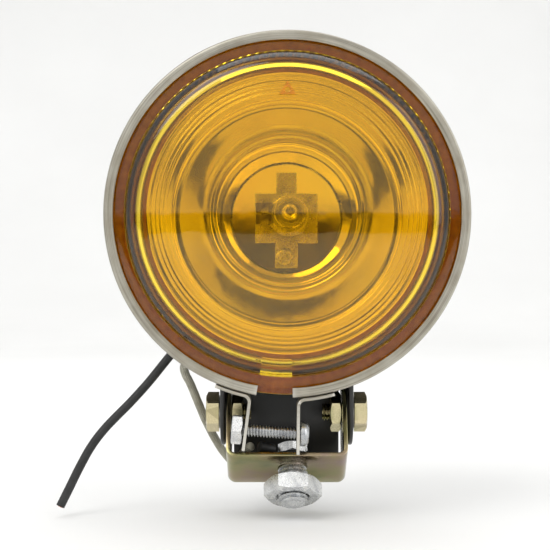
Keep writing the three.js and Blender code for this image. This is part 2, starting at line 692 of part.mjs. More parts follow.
// ---- Mounting saddle welded under the shell, and the pivot ----
function saddle() {
  const lugX = X_LUG + LUG_THICK / 2;
  const archR = SHELL_R + GAP + LUG_THICK / 2;
  const edge = Math.asin(lugX / archR);
  const line = [];
  const steps = 10;
  line.push(new THREE.Vector2(-lugX, -LUG_R));
  for (let i = 0; i <= steps; i += 1) {
    const angle = edge * ((2 * i) / steps - 1);
    line.push(new THREE.Vector2(archR * Math.sin(angle), PIVOT_DROP - archR * Math.cos(angle)));
  }
  line.push(new THREE.Vector2(lugX, -LUG_R));
  const strip = bentStrip(line, LUG_THICK, 2 * LUG_R);
  strip.translate(0, -LUG_R, 0);
  const outline = tongueOutline(LUG_R - TRIM, PIVOT_DROP);
  const keep = solid(sidePlate(outline, -2 * lugX, 2 * lugX));
  const hole = solid(rod(PIVOT_HOLE_R, -2 * lugX, 2 * lugX, "x"));
  return geometryOf(solid(strip).intersect(keep).subtract(hole).add(saddleWeb()));
}

// The web closes the saddle's rear, between the bracket's legs and down from the strap.
function saddleWeb() {
  const half = LEG_HALF - SHEET - WEB_CLEAR;
  const height = PIVOT_DROP + WEB_DROP;
  const block = new THREE.BoxGeometry(2 * half, LUG_THICK - TRIM, height);
  block.translate(0, LUG_R - (LUG_THICK + TRIM) / 2, height / 2 - WEB_DROP);
  const shellRoom = rod(SHELL_R + GAP + LUG_THICK / 2, 0, 2 * LUG_R, "y", ROUND);
  shellRoom.translate(0, 0, PIVOT_DROP);
  return solid(block).subtract(solid(shellRoom));
}

function pivotBolt() {
  const inner = X_NUT - PIVOT_NUT - PIVOT_THREAD_OUT;
  const head = hexBar(PIVOT_AF, X_HEAD, X_HEAD + PIVOT_HEAD, "x");
  return join(head, rod(PIVOT_R, inner, X_HEAD + OVERCUT, "x"));
}

// Turns a piece drawn for the right-hand pivot to the left-hand one.
function sided(side, geometry) {
  if (side < 0) geometry.rotateZ(Math.PI);
  return geometry;
}

// ---- Bracket group, drawn upright on its seat, with the stud's axis at x = 0, y = 0 ----
function uBracket() {
  const half = LEG_HALF - SHEET / 2;
  const bend = BRACKET_BEND - SHEET / 2;
  const top = PIVOT_HEIGHT + BRACKET_W;
  const floorZ = SHEET / 2;
  const path = new THREE.Path();
  path.moveTo(-half, top);
  path.lineTo(-half, floorZ + bend);
  path.absarc(-half + bend, floorZ + bend, bend, Math.PI, 1.5 * Math.PI, false);
  path.lineTo(half - bend, floorZ);
  path.absarc(half - bend, floorZ + bend, bend, 1.5 * Math.PI, 2 * Math.PI, false);
  path.lineTo(half, top);
  const strip = bentStrip(path.getPoints(5), SHEET, BRACKET_W);
  strip.translate(0, -BRACKET_W / 2, 0);
  const legs = tongueOutline(BRACKET_W / 2 - TRIM, -2 * PIVOT_HEIGHT);
  const outline = sidePlate(legs, -2 * half, 2 * half);
  outline.translate(0, 0, PIVOT_HEIGHT);
  const pivotHole = rod(PIVOT_HOLE_R, -2 * half, 2 * half, "x");
  pivotHole.translate(0, 0, PIVOT_HEIGHT);
  const stemHole = rod(STEM_HOLE_R, -SHEET, 2 * SHEET, "z");
  stemHole.translate(STUD_OFFSET, 0, 0);
  const recess = rod(STUD_R + GAP, -OVERCUT, STUD_RECESS, "z");
  recess.translate(STUD_OFFSET, 0, 0);
  const body = solid(strip).intersect(solid(outline)).subtract(solid(pivotHole));
  const bracket = geometryOf(body.subtract(solid(stemHole)).subtract(solid(recess)));
  bracket.translate(-STUD_OFFSET, 0, 0);
  return bracket;
}

function mountStud() {
  const shoulder = STUD_RECESS - GAP;
  return pointed(turned([
    [0, -STUD_LENGTH], [STUD_R - STUD_CHAMFER, -STUD_LENGTH],
    [STUD_R, STUD_CHAMFER - STUD_LENGTH], [STUD_R, shoulder], [STEM_R, shoulder],
    [STEM_R, STEM_TOP], [0, STEM_TOP],
  ], BULB_ROUND), "z");
}

function studPad() {
  const top = Z_PAD + PAD_THICK;
  return pointed(turned([
    [STEM_HOLE_R, Z_PAD], [PAD_R, Z_PAD], [PAD_R, top - PAD_CHAMFER],
    [PAD_R - PAD_CHAMFER, top], [STEM_HOLE_R, top],
  ], BULB_ROUND), "z");
}

function earthTerminal() {
  const top = Z_TERMINAL + TERMINAL_THICK;
  const ring = rod(TERMINAL_R, Z_TERMINAL, top, "z");
  const tongue = new THREE.BoxGeometry(SLEEVE_FROM - GAP, TERMINAL_TONGUE, TERMINAL_THICK);
  tongue.translate((SLEEVE_FROM - GAP) / 2, 0, (Z_TERMINAL + top) / 2);
  tongue.rotateZ(rad(TERMINAL_TURN));
  const hole = rod(STEM_HOLE_R, Z_TERMINAL - OVERCUT, top + OVERCUT, "z");
  return geometryOf(solid(ring).add(solid(tongue)).subtract(solid(hole)));
}

function terminalSleeve() {
  const sleeve = rod(SLEEVE_R, SLEEVE_FROM, SLEEVE_FROM + SLEEVE_LENGTH, "x");
  sleeve.translate(0, 0, Z_TERMINAL + SLEEVE_R);
  sleeve.rotateZ(rad(TERMINAL_TURN));
  return sleeve;
}

// ---- Assembly ----
const fogLight = new THREE.Group();

const bracketGroup = new THREE.Group();
bracketGroup.rotation.x = -rad(LEAN);
fogLight.add(bracketGroup);

part(bracketGroup, "u_bracket", uBracket(), yellowZinc());
part(bracketGroup, "mount_stud", mountStud(), brightZinc());
part(bracketGroup, "stud_pad", studPad(), blackRubber());
part(bracketGroup, "earth_terminal", earthTerminal(), brightZinc());
part(bracketGroup, "terminal_sleeve", terminalSleeve(), blackPlastic());
part(
  bracketGroup, "stud_top_nut",
  hexNut(TOP_NUT_AF, Z_TOP_NUT, Z_TOP_NUT + TOP_NUT, "z", STEM_HOLE_R, true), brightZinc(),
);
part(
  bracketGroup, "mounting_nut",
  hexNut(MOUNT_NUT_AF, -PANEL_GAP - MOUNT_NUT, -PANEL_GAP, "z", STUD_R + GAP), brightZinc(),
);

const pivotGroup = new THREE.Group();
pivotGroup.position.set(
  -STUD_OFFSET, PIVOT_HEIGHT * Math.sin(rad(LEAN)), PIVOT_HEIGHT * Math.cos(rad(LEAN)),
);
fogLight.add(pivotGroup);

for (const [word, side] of [["left", -1], ["right", 1]]) {
  const nut = hexNut(PIVOT_AF, X_NUT - PIVOT_NUT, X_NUT, "x", PIVOT_R + GAP);
  const disc = washer(PIVOT_HOLE_R, DISC_R, X_DISC, X_DISC + DISC_THICK, "x", BULB_ROUND);
  const flat = washer(PIVOT_HOLE_R, WASHER_R, X_WASHER, X_WASHER + WASHER_THICK, "x");
  part(pivotGroup, `${word}_pivot_bolt`, sided(side, pivotBolt()), yellowZinc());
  part(pivotGroup, `${word}_pivot_nut`, sided(side, nut), yellowZinc());
  part(pivotGroup, `${word}_friction_disc`, sided(side, disc), fibre());
  part(pivotGroup, `${word}_pivot_washer`, sided(side, flat), springSteel());
}
part(pivotGroup, "mounting_saddle", saddle(), blackPaint());

const lampGroup = new THREE.Group();
lampGroup.position.set(0, -PIVOT_DEPTH, PIVOT_DROP);
pivotGroup.add(lampGroup);

part(lampGroup, "lens", lens(), amberGlass());
part(lampGroup, "lens_gasket", gasket(), cork());
part(lampGroup, "reflector", reflector(), mirrorMetal());
part(lampGroup, "housing_shell", shell(), blackPaint());
part(lampGroup, "lead_grommet", grommet(), blackRubber());
part(lampGroup, "bulb_holder", holderPlate(), mirrorMetal());
part(lampGroup, "holder_screw", holderScrew(), brightZinc());
part(lampGroup, "bulb_base", bulbBase(), brightZinc());
part(lampGroup, "bulb_glass", bulbGlass(), clearGlass());
part(lampGroup, "bulb_filament", filament(), tungsten());
part(lampGroup, "bulb_clip", bulbClip(), springSteel());
part(lampGroup, "bulb_connector", connector(), blackPlastic());
part(lampGroup, "inner_lead", innerLead(), blackPlastic());

const bandGroup = new THREE.Group();
bandGroup.rotation.y = rad(BAND_TURN);
lampGroup.add(bandGroup);

part(bandGroup, "rim_band", band(), bandSteel());
part(bandGroup, "left_clamp_ear", ear(-1), bandSteel());
part(bandGroup, "right_clamp_ear", ear(1), bandSteel());
part(bandGroup, "clamp_screw", clampScrew(), brightZinc());
part(bandGroup, "clamp_nut", clampNut(), brightZinc());

part(fogLight, "feed_lead", wire(FEED_ROUTE, WIRE_R), blackPlastic());
part(fogLight, "earth_lead", wire(EARTH_ROUTE, WIRE_R), creamBraid());

export default fogLight;
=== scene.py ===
"""A round amber fog light in a split clamp band, on a small U-bracket with a threaded stud.

Shapes are drawn in millimetres, each in the frame of the group it belongs to, and a
group's place turns them to metres in the shared frame.
"""
import json
import math

import bmesh
import bpy
from mathutils import Matrix, Vector

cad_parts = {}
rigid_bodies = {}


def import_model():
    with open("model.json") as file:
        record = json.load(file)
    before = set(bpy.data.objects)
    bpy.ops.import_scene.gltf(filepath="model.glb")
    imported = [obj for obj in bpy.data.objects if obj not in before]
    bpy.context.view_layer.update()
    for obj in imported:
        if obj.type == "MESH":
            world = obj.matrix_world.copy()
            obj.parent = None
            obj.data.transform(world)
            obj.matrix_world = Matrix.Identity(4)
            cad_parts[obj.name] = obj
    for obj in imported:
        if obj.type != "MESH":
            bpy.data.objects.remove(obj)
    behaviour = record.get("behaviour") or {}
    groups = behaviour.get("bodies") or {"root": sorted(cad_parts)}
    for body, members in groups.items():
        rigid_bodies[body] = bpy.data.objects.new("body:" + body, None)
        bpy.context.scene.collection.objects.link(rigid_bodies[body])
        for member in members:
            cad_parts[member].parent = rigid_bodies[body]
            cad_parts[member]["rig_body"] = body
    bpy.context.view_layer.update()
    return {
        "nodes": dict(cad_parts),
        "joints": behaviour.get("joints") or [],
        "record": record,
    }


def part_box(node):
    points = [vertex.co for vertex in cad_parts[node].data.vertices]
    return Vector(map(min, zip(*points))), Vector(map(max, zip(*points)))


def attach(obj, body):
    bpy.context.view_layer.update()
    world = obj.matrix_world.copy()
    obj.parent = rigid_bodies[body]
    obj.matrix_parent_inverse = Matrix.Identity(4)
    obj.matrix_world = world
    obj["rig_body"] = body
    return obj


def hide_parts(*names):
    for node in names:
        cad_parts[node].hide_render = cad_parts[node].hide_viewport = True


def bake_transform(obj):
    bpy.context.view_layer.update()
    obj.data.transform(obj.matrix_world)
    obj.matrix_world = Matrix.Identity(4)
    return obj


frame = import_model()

record = frame["record"]


# ---- Places ----
def joint(name):
    return next(j for j in frame["joints"] if j["name"] == name)


def mount(name):
    return next(m for m in record["mounts"] if m["name"] == name)


MM = 0.001
FULL = 2 * math.pi
lens_low, lens_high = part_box("lens")
band_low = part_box("rim_band")[0]
lamp_middle = (lens_low + lens_high) / 2
LAMP_CENTRE = Vector((lamp_middle.x, band_low.y, lamp_middle.z))
PIVOT_CENTRE = Vector(joint("head_tilt")["pos_m"])
stud_down = Vector(mount("stud_mount")["axis"])
screw_line = Vector(joint("clamp_screw_turn")["axis"])
LEAN = math.atan2(-stud_down.y, -stud_down.z)
BAND_TURN = math.atan2(-screw_line.z, screw_line.x)

TO_METRES = Matrix.Scale(MM, 4)
LAMP = Matrix.Translation(LAMP_CENTRE) @ TO_METRES
BAND = Matrix.Translation(LAMP_CENTRE) @ Matrix.Rotation(BAND_TURN, 4, "Y") @ TO_METRES
PIVOT = Matrix.Translation(PIVOT_CENTRE) @ TO_METRES
BRACKET = Matrix.Rotation(-LEAN, 4, "X") @ TO_METRES

# ---- Camera, level and looking straight back at the lamp ----
CAMERA_PLACE = (-0.0060, -0.4595, 0.0660)
CAMERA_LENS = 88.6

camera_data = bpy.data.cameras.new("camera")
camera_data.lens = CAMERA_LENS
camera_data.sensor_width = 36
camera_data.clip_start = 0.01
camera_data.clip_end = 20
camera = bpy.data.objects.new("camera", camera_data)
camera.location = CAMERA_PLACE
camera.rotation_euler = (math.radians(90), 0, 0)
bpy.context.scene.collection.objects.link(camera)
bpy.context.scene.camera = camera
bpy.context.scene.view_settings.view_transform = "Standard"


# ---- Materials ----
class Finish:
    """A procedural material being put together, on the piece's own coordinates in metres."""

    def __init__(self, name, **sockets):
        self.made = bpy.data.materials.new(name)
        self.made.use_nodes = True
        self.nodes = self.made.node_tree.nodes
        self.links = self.made.node_tree.links
        self.shader = self.nodes["Principled BSDF"]
        self.coords = self.nodes.new("ShaderNodeTexCoord").outputs["Object"]
        for socket, value in sockets.items():
            self.shader.inputs[socket.replace("_", " ")].default_value = value

    def node(self, kind, *inputs, output=0, **settings):
        made = self.nodes.new("ShaderNode" + kind)
        for key, value in settings.items():
            setattr(made, key, value)
        for index, value in enumerate(inputs):
            if isinstance(value, bpy.types.NodeSocket):
                self.links.new(value, made.inputs[index])
            elif value is not None:
                made.inputs[index].default_value = value
        return made.outputs[output]

    def math(self, operation, *inputs):
        return self.node("Math", *inputs, operation=operation)

    def noise(self, size, detail=3.0, stretch=(1, 1, 1), coords=None):
        """Noise whose features are about size millimetres, stretched along some axes."""
        scaled = self.node(
            "Mapping", coords or self.coords, (0, 0, 0), (0, 0, 0),
            tuple(1 / (size * MM * k) for k in stretch),
        )
        return self.node("TexNoise", scaled, None, 1.0, detail, 0.55)

    def ramp(self, factor, *stops):
        made = self.nodes.new("ShaderNodeValToRGB")
        self.links.new(factor, made.inputs[0])
        elements = made.color_ramp.elements
        while len(elements) < len(stops):
            elements.new(0.5)
        for element, (place, colour) in zip(elements, stops):
            element.position = place
            element.color = (*colour, 1)
        return made.outputs[0]

    def spread(self, factor, low, high, start=0.3, end=0.7):
        return self.node("MapRange", factor, start, end, low, high)

    def mix(self, factor, first, second, blend="MIX"):
        made = self.nodes.new("ShaderNodeMix")
        made.data_type = "RGBA"
        made.blend_type = blend
        for index, value in ((0, factor), (6, first), (7, second)):
            if isinstance(value, bpy.types.NodeSocket):
                self.links.new(value, made.inputs[index])
            else:
                made.inputs[index].default_value = value
        return made.outputs[2]

    def edges(self, start=0.52, end=0.6):
        """1 along sharp outer edges and 0 elsewhere."""
        sharpness = self.node("NewGeometry", output="Pointiness")
        return self.node("MapRange", sharpness, start, end, 0.0, 1.0)

    def lamp_polar(self, around=1.0, across=1.0, deep=1.0):
        """Coordinates that run round the lamp's axis, outwards from it and back along it."""
        local = self.node("Mapping", self.coords, tuple(-LAMP_CENTRE))
        split = self.nodes.new("ShaderNodeSeparateXYZ")
        self.links.new(local, split.inputs[0])
        x, y, z = split.outputs
        angle = self.math("ARCTAN2", x, z)
        radius = self.math("SQRT", self.math("ADD", self.math("POWER", x, 2.0),
                                             self.math("POWER", z, 2.0)))
        return self.node(
            "CombineXYZ", self.math("MULTIPLY", radius, across),
            self.math("MULTIPLY", angle, around), self.math("MULTIPLY", y, deep),
        )

    def bump(self, height, depth):
        """Relief whose full height is depth millimetres, added to any that is there."""
        made = self.nodes.new("ShaderNodeBump")
        made.inputs["Distance"].default_value = depth * MM
        self.links.new(height, made.inputs["Height"])
        into = self.shader.inputs["Normal"]
        if into.is_linked:
            self.links.new(into.links[0].from_socket, made.inputs["Normal"])
        self.links.new(made.outputs[0], into)

    def set(self, **sockets):
        for socket, value in sockets.items():
            self.links.new(value, self.shader.inputs[socket.replace("_", " ")])
        return self


def surfaced(name, colours, patch, rough, grain, depth, metal=0.0, stretch=(1, 1, 1), worn=None):
    """A finish with patches of colour, uneven gloss, a fine grain and, if asked, worn edges."""
    made = Finish(name, Metallic=metal)
    patches = made.noise(patch, 4.0)
    stops = [(0.3 + 0.4 * i / max(len(colours) - 1, 1), c) for i, c in enumerate(colours)]
    colour = made.ramp(patches, *stops)
    fine = made.noise(grain, 2.0, stretch)
    if worn is not None:
        bare = made.math("MULTIPLY", made.edges(), made.spread(fine, 0.2, 1.0))
        colour = made.mix(bare, colour, (*worn, 1))
    made.set(Base_Color=colour, Roughness=made.spread(made.noise(patch / 3), *rough))
    made.bump(fine, depth)
    return made.made


def amber_glass():
    made = Finish("amber pressed glass", Transmission_Weight=1.0, IOR=1.5, Specular_IOR_Level=0.2)
    body = made.noise(30, 2.0)
    made.set(Base_Color=made.ramp(body, (0.3, (1.0, 0.66, 0.03)), (0.7, (1.0, 0.72, 0.05))),
             Roughness=made.spread(made.noise(6), 0.015, 0.045))
    made.bump(made.noise(9, 2.0), 0.03)
    return made.made


def clear_glass():
    made = Finish("clear bulb glass", Transmission_Weight=1.0, IOR=1.47)
    made.set(Base_Color=made.ramp(made.noise(4), (0.3, (0.92, 0.92, 0.9)), (0.7, (1, 1, 1))),
             Roughness=made.spread(made.noise(3), 0.0, 0.03))
    made.bump(made.noise(3, 1.0), 0.01)
    return made.made


def band_steel():
    made = Finish("drawn galvanised strip", Metallic=0.75)
    streaks = made.node("TexNoise", made.lamp_polar(around=1.6, across=3200, deep=1500),
                        None, 1.0, 4.0, 0.6)
    patches = made.noise(9, 4.0)
    grey = made.ramp(streaks, (0.25, (0.16, 0.15, 0.12)), (0.5, (0.42, 0.395, 0.335)),
                     (0.75, (0.56, 0.54, 0.46)))
    cloudy = made.ramp(patches, (0.35, (0.80, 0.78, 0.74)), (0.65, (1, 1, 1)))
    colour = made.mix(1.0, grey, cloudy, "MULTIPLY")
    made.set(Base_Color=made.mix(made.edges(), colour, (0.62, 0.60, 0.54, 1)),
             Roughness=made.spread(streaks, 0.30, 0.52))
    made.bump(streaks, 0.03)
    return made.made


def mirror_metal():
    made = Finish("bright reflector", Metallic=1.0)
    silver = made.ramp(made.noise(14), (0.3, (0.88, 0.88, 0.86)), (0.7, (0.95, 0.95, 0.93)))
    made.set(Base_Color=silver,
             Roughness=made.spread(made.noise(8), 0.03, 0.08))
    made.bump(made.noise(7, 1.0), 0.012)
    return made.made


BRAID_ENDS = 7  # pairs of threads round the sleeve


def cream_braid():
    made = Finish("cream woven sleeve", Roughness=0.8, Sheen_Weight=0.25)
    uv = made.nodes.new("ShaderNodeUVMap").outputs[0]
    split = made.nodes.new("ShaderNodeSeparateXYZ")
    made.links.new(uv, split.inputs[0])
    around, along = split.outputs[0], split.outputs[1]
    lean_one = made.math(
        "SINE", made.math("MULTIPLY", made.math("ADD", around, along), FULL * BRAID_ENDS))
    lean_two = made.math(
        "SINE", made.math("MULTIPLY", made.math("SUBTRACT", around, along), FULL * BRAID_ENDS))
    weave = made.math("MULTIPLY", lean_one, lean_two)
    # the threads are painted darker in the weave's hollows and lighter on its crests: painted shade
    # in the hollows
    threads_with_hollow_shade = made.ramp(made.spread(weave, 0.0, 1.0, -0.8, 0.8), (0.1, (0.20, 0.19, 0.15)),
                        (0.5, (0.50, 0.48, 0.38)), (0.9, (0.72, 0.70, 0.58)))
    soiling = made.ramp(made.noise(3, 4.0), (0.35, (0.62, 0.60, 0.55)), (0.65, (1, 1, 1)))
    made.set(Base_Color=made.mix(1.0, threads_with_hollow_shade, soiling, "MULTIPLY"))
    made.bump(weave, 0.12)
    return made.made


AMBER = amber_glass()
CLEAR = clear_glass()
STRIP = band_steel()
MIRROR = mirror_metal()
BRAID = cream_braid()
PAINT = surfaced("semi-gloss black paint", [(0.015, 0.015, 0.014), (0.023, 0.023, 0.021)], 12,
                 (0.28, 0.38), 0.7, 0.008, worn=(0.045, 0.042, 0.04))
YELLOW_ZINC = surfaced(
    "yellow passivated zinc",
    [(0.21, 0.23, 0.10), (0.31, 0.29, 0.13), (0.34, 0.27, 0.16), (0.32, 0.23, 0.20)], 13,
    (0.14, 0.24), 0.25, 0.006, metal=1.0, worn=(0.80, 0.70, 0.44))
BRIGHT_ZINC = surfaced("bright zinc plate", [(0.40, 0.41, 0.43), (0.62, 0.63, 0.63)], 3,
                       (0.20, 0.38), 0.3, 0.015, metal=1.0, worn=(0.92, 0.92, 0.90))
TIN = surfaced("bright tinned sheet", [(0.34, 0.34, 0.32), (0.56, 0.56, 0.53)], 5,
               (0.20, 0.36), 0.4, 0.012, metal=1.0, worn=(0.75, 0.75, 0.71))
RUBBER = surfaced("black moulded rubber", [(0.010, 0.010, 0.010), (0.024, 0.023, 0.022)], 5,
                  (0.55, 0.75), 0.4, 0.03, worn=(0.05, 0.05, 0.05))
FIBRE = surfaced("pressed black fibre", [(0.012, 0.011, 0.010), (0.035, 0.032, 0.028)], 3,
                 (0.7, 0.9), 0.3, 0.05)
CORK = surfaced("tan cork and rubber", [(0.30, 0.13, 0.06), (0.46, 0.22, 0.11)], 2.5,
                (0.75, 0.95), 0.6, 0.08)
SPRING = surfaced("dark spring steel", [(0.10, 0.095, 0.085), (0.24, 0.23, 0.21)], 3,
                  (0.25, 0.42), 0.3, 0.012, metal=1.0, worn=(0.6, 0.6, 0.57))
TUNGSTEN = surfaced("dull tungsten wire", [(0.35, 0.35, 0.34), (0.55, 0.55, 0.53)], 1,
                    (0.3, 0.5), 0.1, 0.01, metal=1.0)
PVC = surfaced("matt black PVC", [(0.009, 0.009, 0.009), (0.022, 0.022, 0.021)], 6,
               (0.42, 0.60), 0.25, 0.02)
COPPER = surfaced("cut copper strands", [(0.62, 0.26, 0.14), (0.80, 0.42, 0.26)], 0.4,
                  (0.25, 0.40), 0.1, 0.01, metal=1.0)


# ---- Making pieces ----
def piece(name, bm, place, finish, node=None, body=None, sharp=32):
    """Places a finished shape, and lets it stand for a CAD node or ride on a body."""
    bmesh.ops.transform(bm, matrix=place, verts=bm.verts)
    bmesh.ops.recalc_face_normals(bm, faces=bm.faces)
    mesh = bpy.data.meshes.new(name)
    bm.to_mesh(mesh)
    bm.free()
    mesh.materials.append(finish)
    mesh.shade_smooth()
    mesh.set_sharp_from_angle(angle=math.radians(sharp))
    made = bpy.data.objects.new(name, mesh)
    bpy.context.scene.collection.objects.link(made)
    if node:
        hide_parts(node)
        body = frame["nodes"][node]["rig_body"]
    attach(made, body)
    return made


def eased(outline, radius, steps=4):
    """A turned piece's outline with its corners rounded. A third number on a point is its own
    radius. The ends of an outline that starts and stops on the axis stay as they are."""
    closed = outline[0][0] > 0
    count = len(outline)
    line = []
    for i, point in enumerate(outline):
        here = Vector(point[:2])
        if not closed and i in (0, count - 1):
            line.append(here)
            continue
        back = Vector(outline[i - 1][:2]) - here
        on = Vector(outline[(i + 1) % count][:2]) - here
        wanted = point[2] if len(point) > 2 else radius
        reach = min(wanted, 0.45 * back.length, 0.45 * on.length)
        if reach < 1e-3 or back.angle(on) > math.radians(165):
            line.append(here)
            continue
        start = here + back.normalized() * reach
        end = here + on.normalized() * reach
        for k in range(steps + 1):
            t = k / steps
            line.append(start.lerp(here, t).lerp(here.lerp(end, t), t))
    return line


def spun(outline, steps=96):
    """A solid turned about Y from an outline of (radius, distance along Y)."""
    bm = bmesh.new()
    verts = [bm.verts.new((p[0], p[1], 0)) for p in outline]
    pairs = list(zip(verts, verts[1:]))
    if outline[0][0] > 0:
        pairs.append((verts[-1], verts[0]))
    edges = [bm.edges.new(pair) for pair in pairs]
    bmesh.ops.spin(bm, geom=verts + edges, cent=(0, 0, 0), axis=(0, 1, 0), angle=FULL,
                   steps=steps, use_merge=True)
    bmesh.ops.remove_doubles(bm, verts=bm.verts, dist=1e-4)
    bmesh.ops.recalc_face_normals(bm, faces=bm.faces)
    return bm


def laid(bm, axis):
    """Turns a shape drawn along +Y to lie along +X, -X or +Z."""
    turns = {"x": (-90, "Z"), "-x": (90, "Z"), "z": (90, "X")}
    angle, about = turns[axis]
    bmesh.ops.rotate(bm, verts=bm.verts, matrix=Matrix.Rotation(math.radians(angle), 3, about))
    return bm


def moved(bm, x=0.0, y=0.0, z=0.0):
    bmesh.ops.translate(bm, verts=bm.verts, vec=(x, y, z))
    return bm


def joined(*shapes):
    """Several closed shapes as one piece's mesh."""
    whole = bmesh.new()
    for shape in shapes:
        mesh = bpy.data.meshes.new("part")
        shape.to_mesh(mesh)
        shape.free()
        whole.from_mesh(mesh)
        bpy.data.meshes.remove(mesh)
    return whole


def fill_openings(bm):
    rims = [edge for edge in bm.edges if edge.is_boundary]
    bmesh.ops.holes_fill(bm, edges=rims, sides=0)


def flats(bm, across, count=6, first=0.0):
    """Cuts flats round a shape that was turned about Y."""
    for k in range(count):
        angle = first + FULL * k / count
        normal = Vector((math.cos(angle), 0, math.sin(angle)))
        bmesh.ops.bisect_plane(bm, geom=bm.verts[:] + bm.edges[:] + bm.faces[:],
                               plane_co=normal * across / 2, plane_no=normal, clear_outer=True)
        fill_openings(bm)
    return bm


def hexagon(across, low, high, bore=0.0, first=0.0, both=True):
    """A nut or bolt head along Y with turned chamfers, bored through if it is a nut."""
    corner = across / math.sqrt(3)
    ring = across / 2 * 0.96
    drop = (corner - ring) * math.tan(math.radians(30))
    foot = [(ring, low), (corner, low + drop)] if both else [(corner, low)]
    sides = [*foot, (corner, high - drop), (ring, high)]
    if bore:
        mouth = 0.12 * bore
        outline = [(bore, low + mouth), (bore + mouth, low), *sides,
                   (bore + mouth, high), (bore, high - mouth)]
    else:
        outline = [(0, low), *sides, (0, high)]
    return flats(spun(outline, 72), across, first=first)


def threaded(radius, pitch, low, high, tip="high", point=0.6, steps=36):
    """A rod along Y with a helical thread, cut square, and with a chamfered tip."""
    bm = bmesh.new()
    root = radius - 0.61 * pitch
    shape = ((root, 0.0), (root, 0.12), (radius, 0.45), (radius, 0.60))
    turns = math.ceil((high - low) / pitch) + 3
    start = low - 2 * pitch
    verts = [
        bm.verts.new((r, start + (turn + share) * pitch, 0))
        for turn in range(turns + 1)
        for r, share in shape
    ]
    edges = [bm.edges.new(pair) for pair in zip(verts, verts[1:])]
    bmesh.ops.spin(bm, geom=verts + edges, cent=(0, 0, 0), axis=(0, 1, 0), angle=FULL,
                   dvec=(0, pitch / steps, 0), steps=steps)
    bmesh.ops.remove_doubles(bm, verts=bm.verts, dist=1e-3)
    for end, way in ((high, 1), (low, -1)):
        bmesh.ops.bisect_plane(bm, geom=bm.verts[:] + bm.edges[:] + bm.faces[:],
                               plane_co=(0, end, 0), plane_no=(0, way, 0), clear_outer=True)
    fill_openings(bm)
    end = high if tip == "high" else low
    for vert in bm.verts:
        out = math.hypot(vert.co.x, vert.co.z)
        most = radius - point + abs(end - vert.co.y)
        if out > most:
            vert.co.x *= most / out
            vert.co.z *= most / out
    return bm


def circle_points(x, y, radius, count=32):
    return [
        (x + radius * math.cos(FULL * k / count), y + radius * math.sin(FULL * k / count))
        for k in range(count)
    ]


def round_ended(half, radius, count=24):
    """The outline of a strip along X with a half-round end about each of (+-half, 0)."""
    turn = [math.pi * k / count - math.pi / 2 for k in range(count + 1)]
    right = [(half + radius * math.cos(a), radius * math.sin(a)) for a in turn]
    return right + [(-x, -y) for x, y in right]


def plate(outline, holes, thick, edge):
    """A flat plate in XY about z = 0 with round holes (x, y, radius) and eased edges."""
    bm = bmesh.new()
    for loop in [outline, *(circle_points(*hole) for hole in holes)]:
        verts = [bm.verts.new((x, y, -thick / 2)) for x, y in loop]
        for pair in zip(verts, verts[1:] + verts[:1]):
            bm.edges.new(pair)
    bmesh.ops.triangle_fill(bm, edges=bm.edges[:], use_beauty=True)
    raised = bmesh.ops.extrude_face_region(bm, geom=bm.faces[:])["geom"]
    tops = [item for item in raised if isinstance(item, bmesh.types.BMVert)]
    bmesh.ops.translate(bm, verts=tops, vec=(0, 0, thick))
    bmesh.ops.recalc_face_normals(bm, faces=bm.faces)
    corners = [e for e in bm.edges if e.is_manifold and e.calc_face_angle() > math.radians(60)]
    rims = [e for e in corners if abs(e.verts[0].co.z - e.verts[1].co.z) < thick / 2]
    bmesh.ops.bevel(bm, geom=rims, offset=edge, offset_type="OFFSET", segments=3, profile=0.5,
                    affect="EDGES", material=-1, clamp_overlap=True)
    return bm


def along(route, distance):
    """Where a route of (length, turn) stretches from the origin along +X has got to."""
    x = z = heading = 0.0
    for length, turn in route:
        step = min(distance, length)
        if turn:
            radius = length / turn
            ahead = heading + step / radius
            x += radius * (math.sin(ahead) - math.sin(heading))
            z += radius * (math.cos(heading) - math.cos(ahead))
            heading = ahead
        else:
            x += step * math.cos(heading)
            z += step * math.sin(heading)
        distance -= step
    return x + distance * math.cos(heading), z + distance * math.sin(heading), heading


def bent(bm, route, both_ways=True, cuts=10):
    """Bends a flat plate in the XZ plane along a route, the same way on both sides if asked."""
    reached = 0.0
    for length, turn in route:
        for k in range(cuts + 1 if turn else 0):
            for side in (1, -1) if both_ways else (1,):
                place = side * (reached + length * k / cuts)
                bmesh.ops.bisect_plane(bm, geom=bm.verts[:] + bm.edges[:] + bm.faces[:],
                                       plane_co=(place, 0, 0), plane_no=(1, 0, 0), dist=1e-5)
        reached += length
    for vert in bm.verts:
        side = -1 if both_ways and vert.co.x < 0 else 1
        x, z, heading = along(route, abs(vert.co.x))
        rise = vert.co.z
        vert.co.x = side * (x - math.sin(heading) * rise)
        vert.co.z = z + math.cos(heading) * rise
    return bm


def smooth_path(points, per_stretch=6):
    """Closely spaced points on a smooth curve through the given ones."""
    known = [Vector(p) for p in points]
    known = [2 * known[0] - known[1], *known, 2 * known[-1] - known[-2]]
    line = []
    for a, b, c, d in zip(known, known[1:], known[2:], known[3:]):
        for k in range(per_stretch):
            t = k / per_stretch
            line.append(0.5 * (2 * b + (c - a) * t + (2 * a - 5 * b + 4 * c - d) * t * t
                               + (3 * b - a - 3 * c + d) * t ** 3))
    line.append(known[-2])
    return line


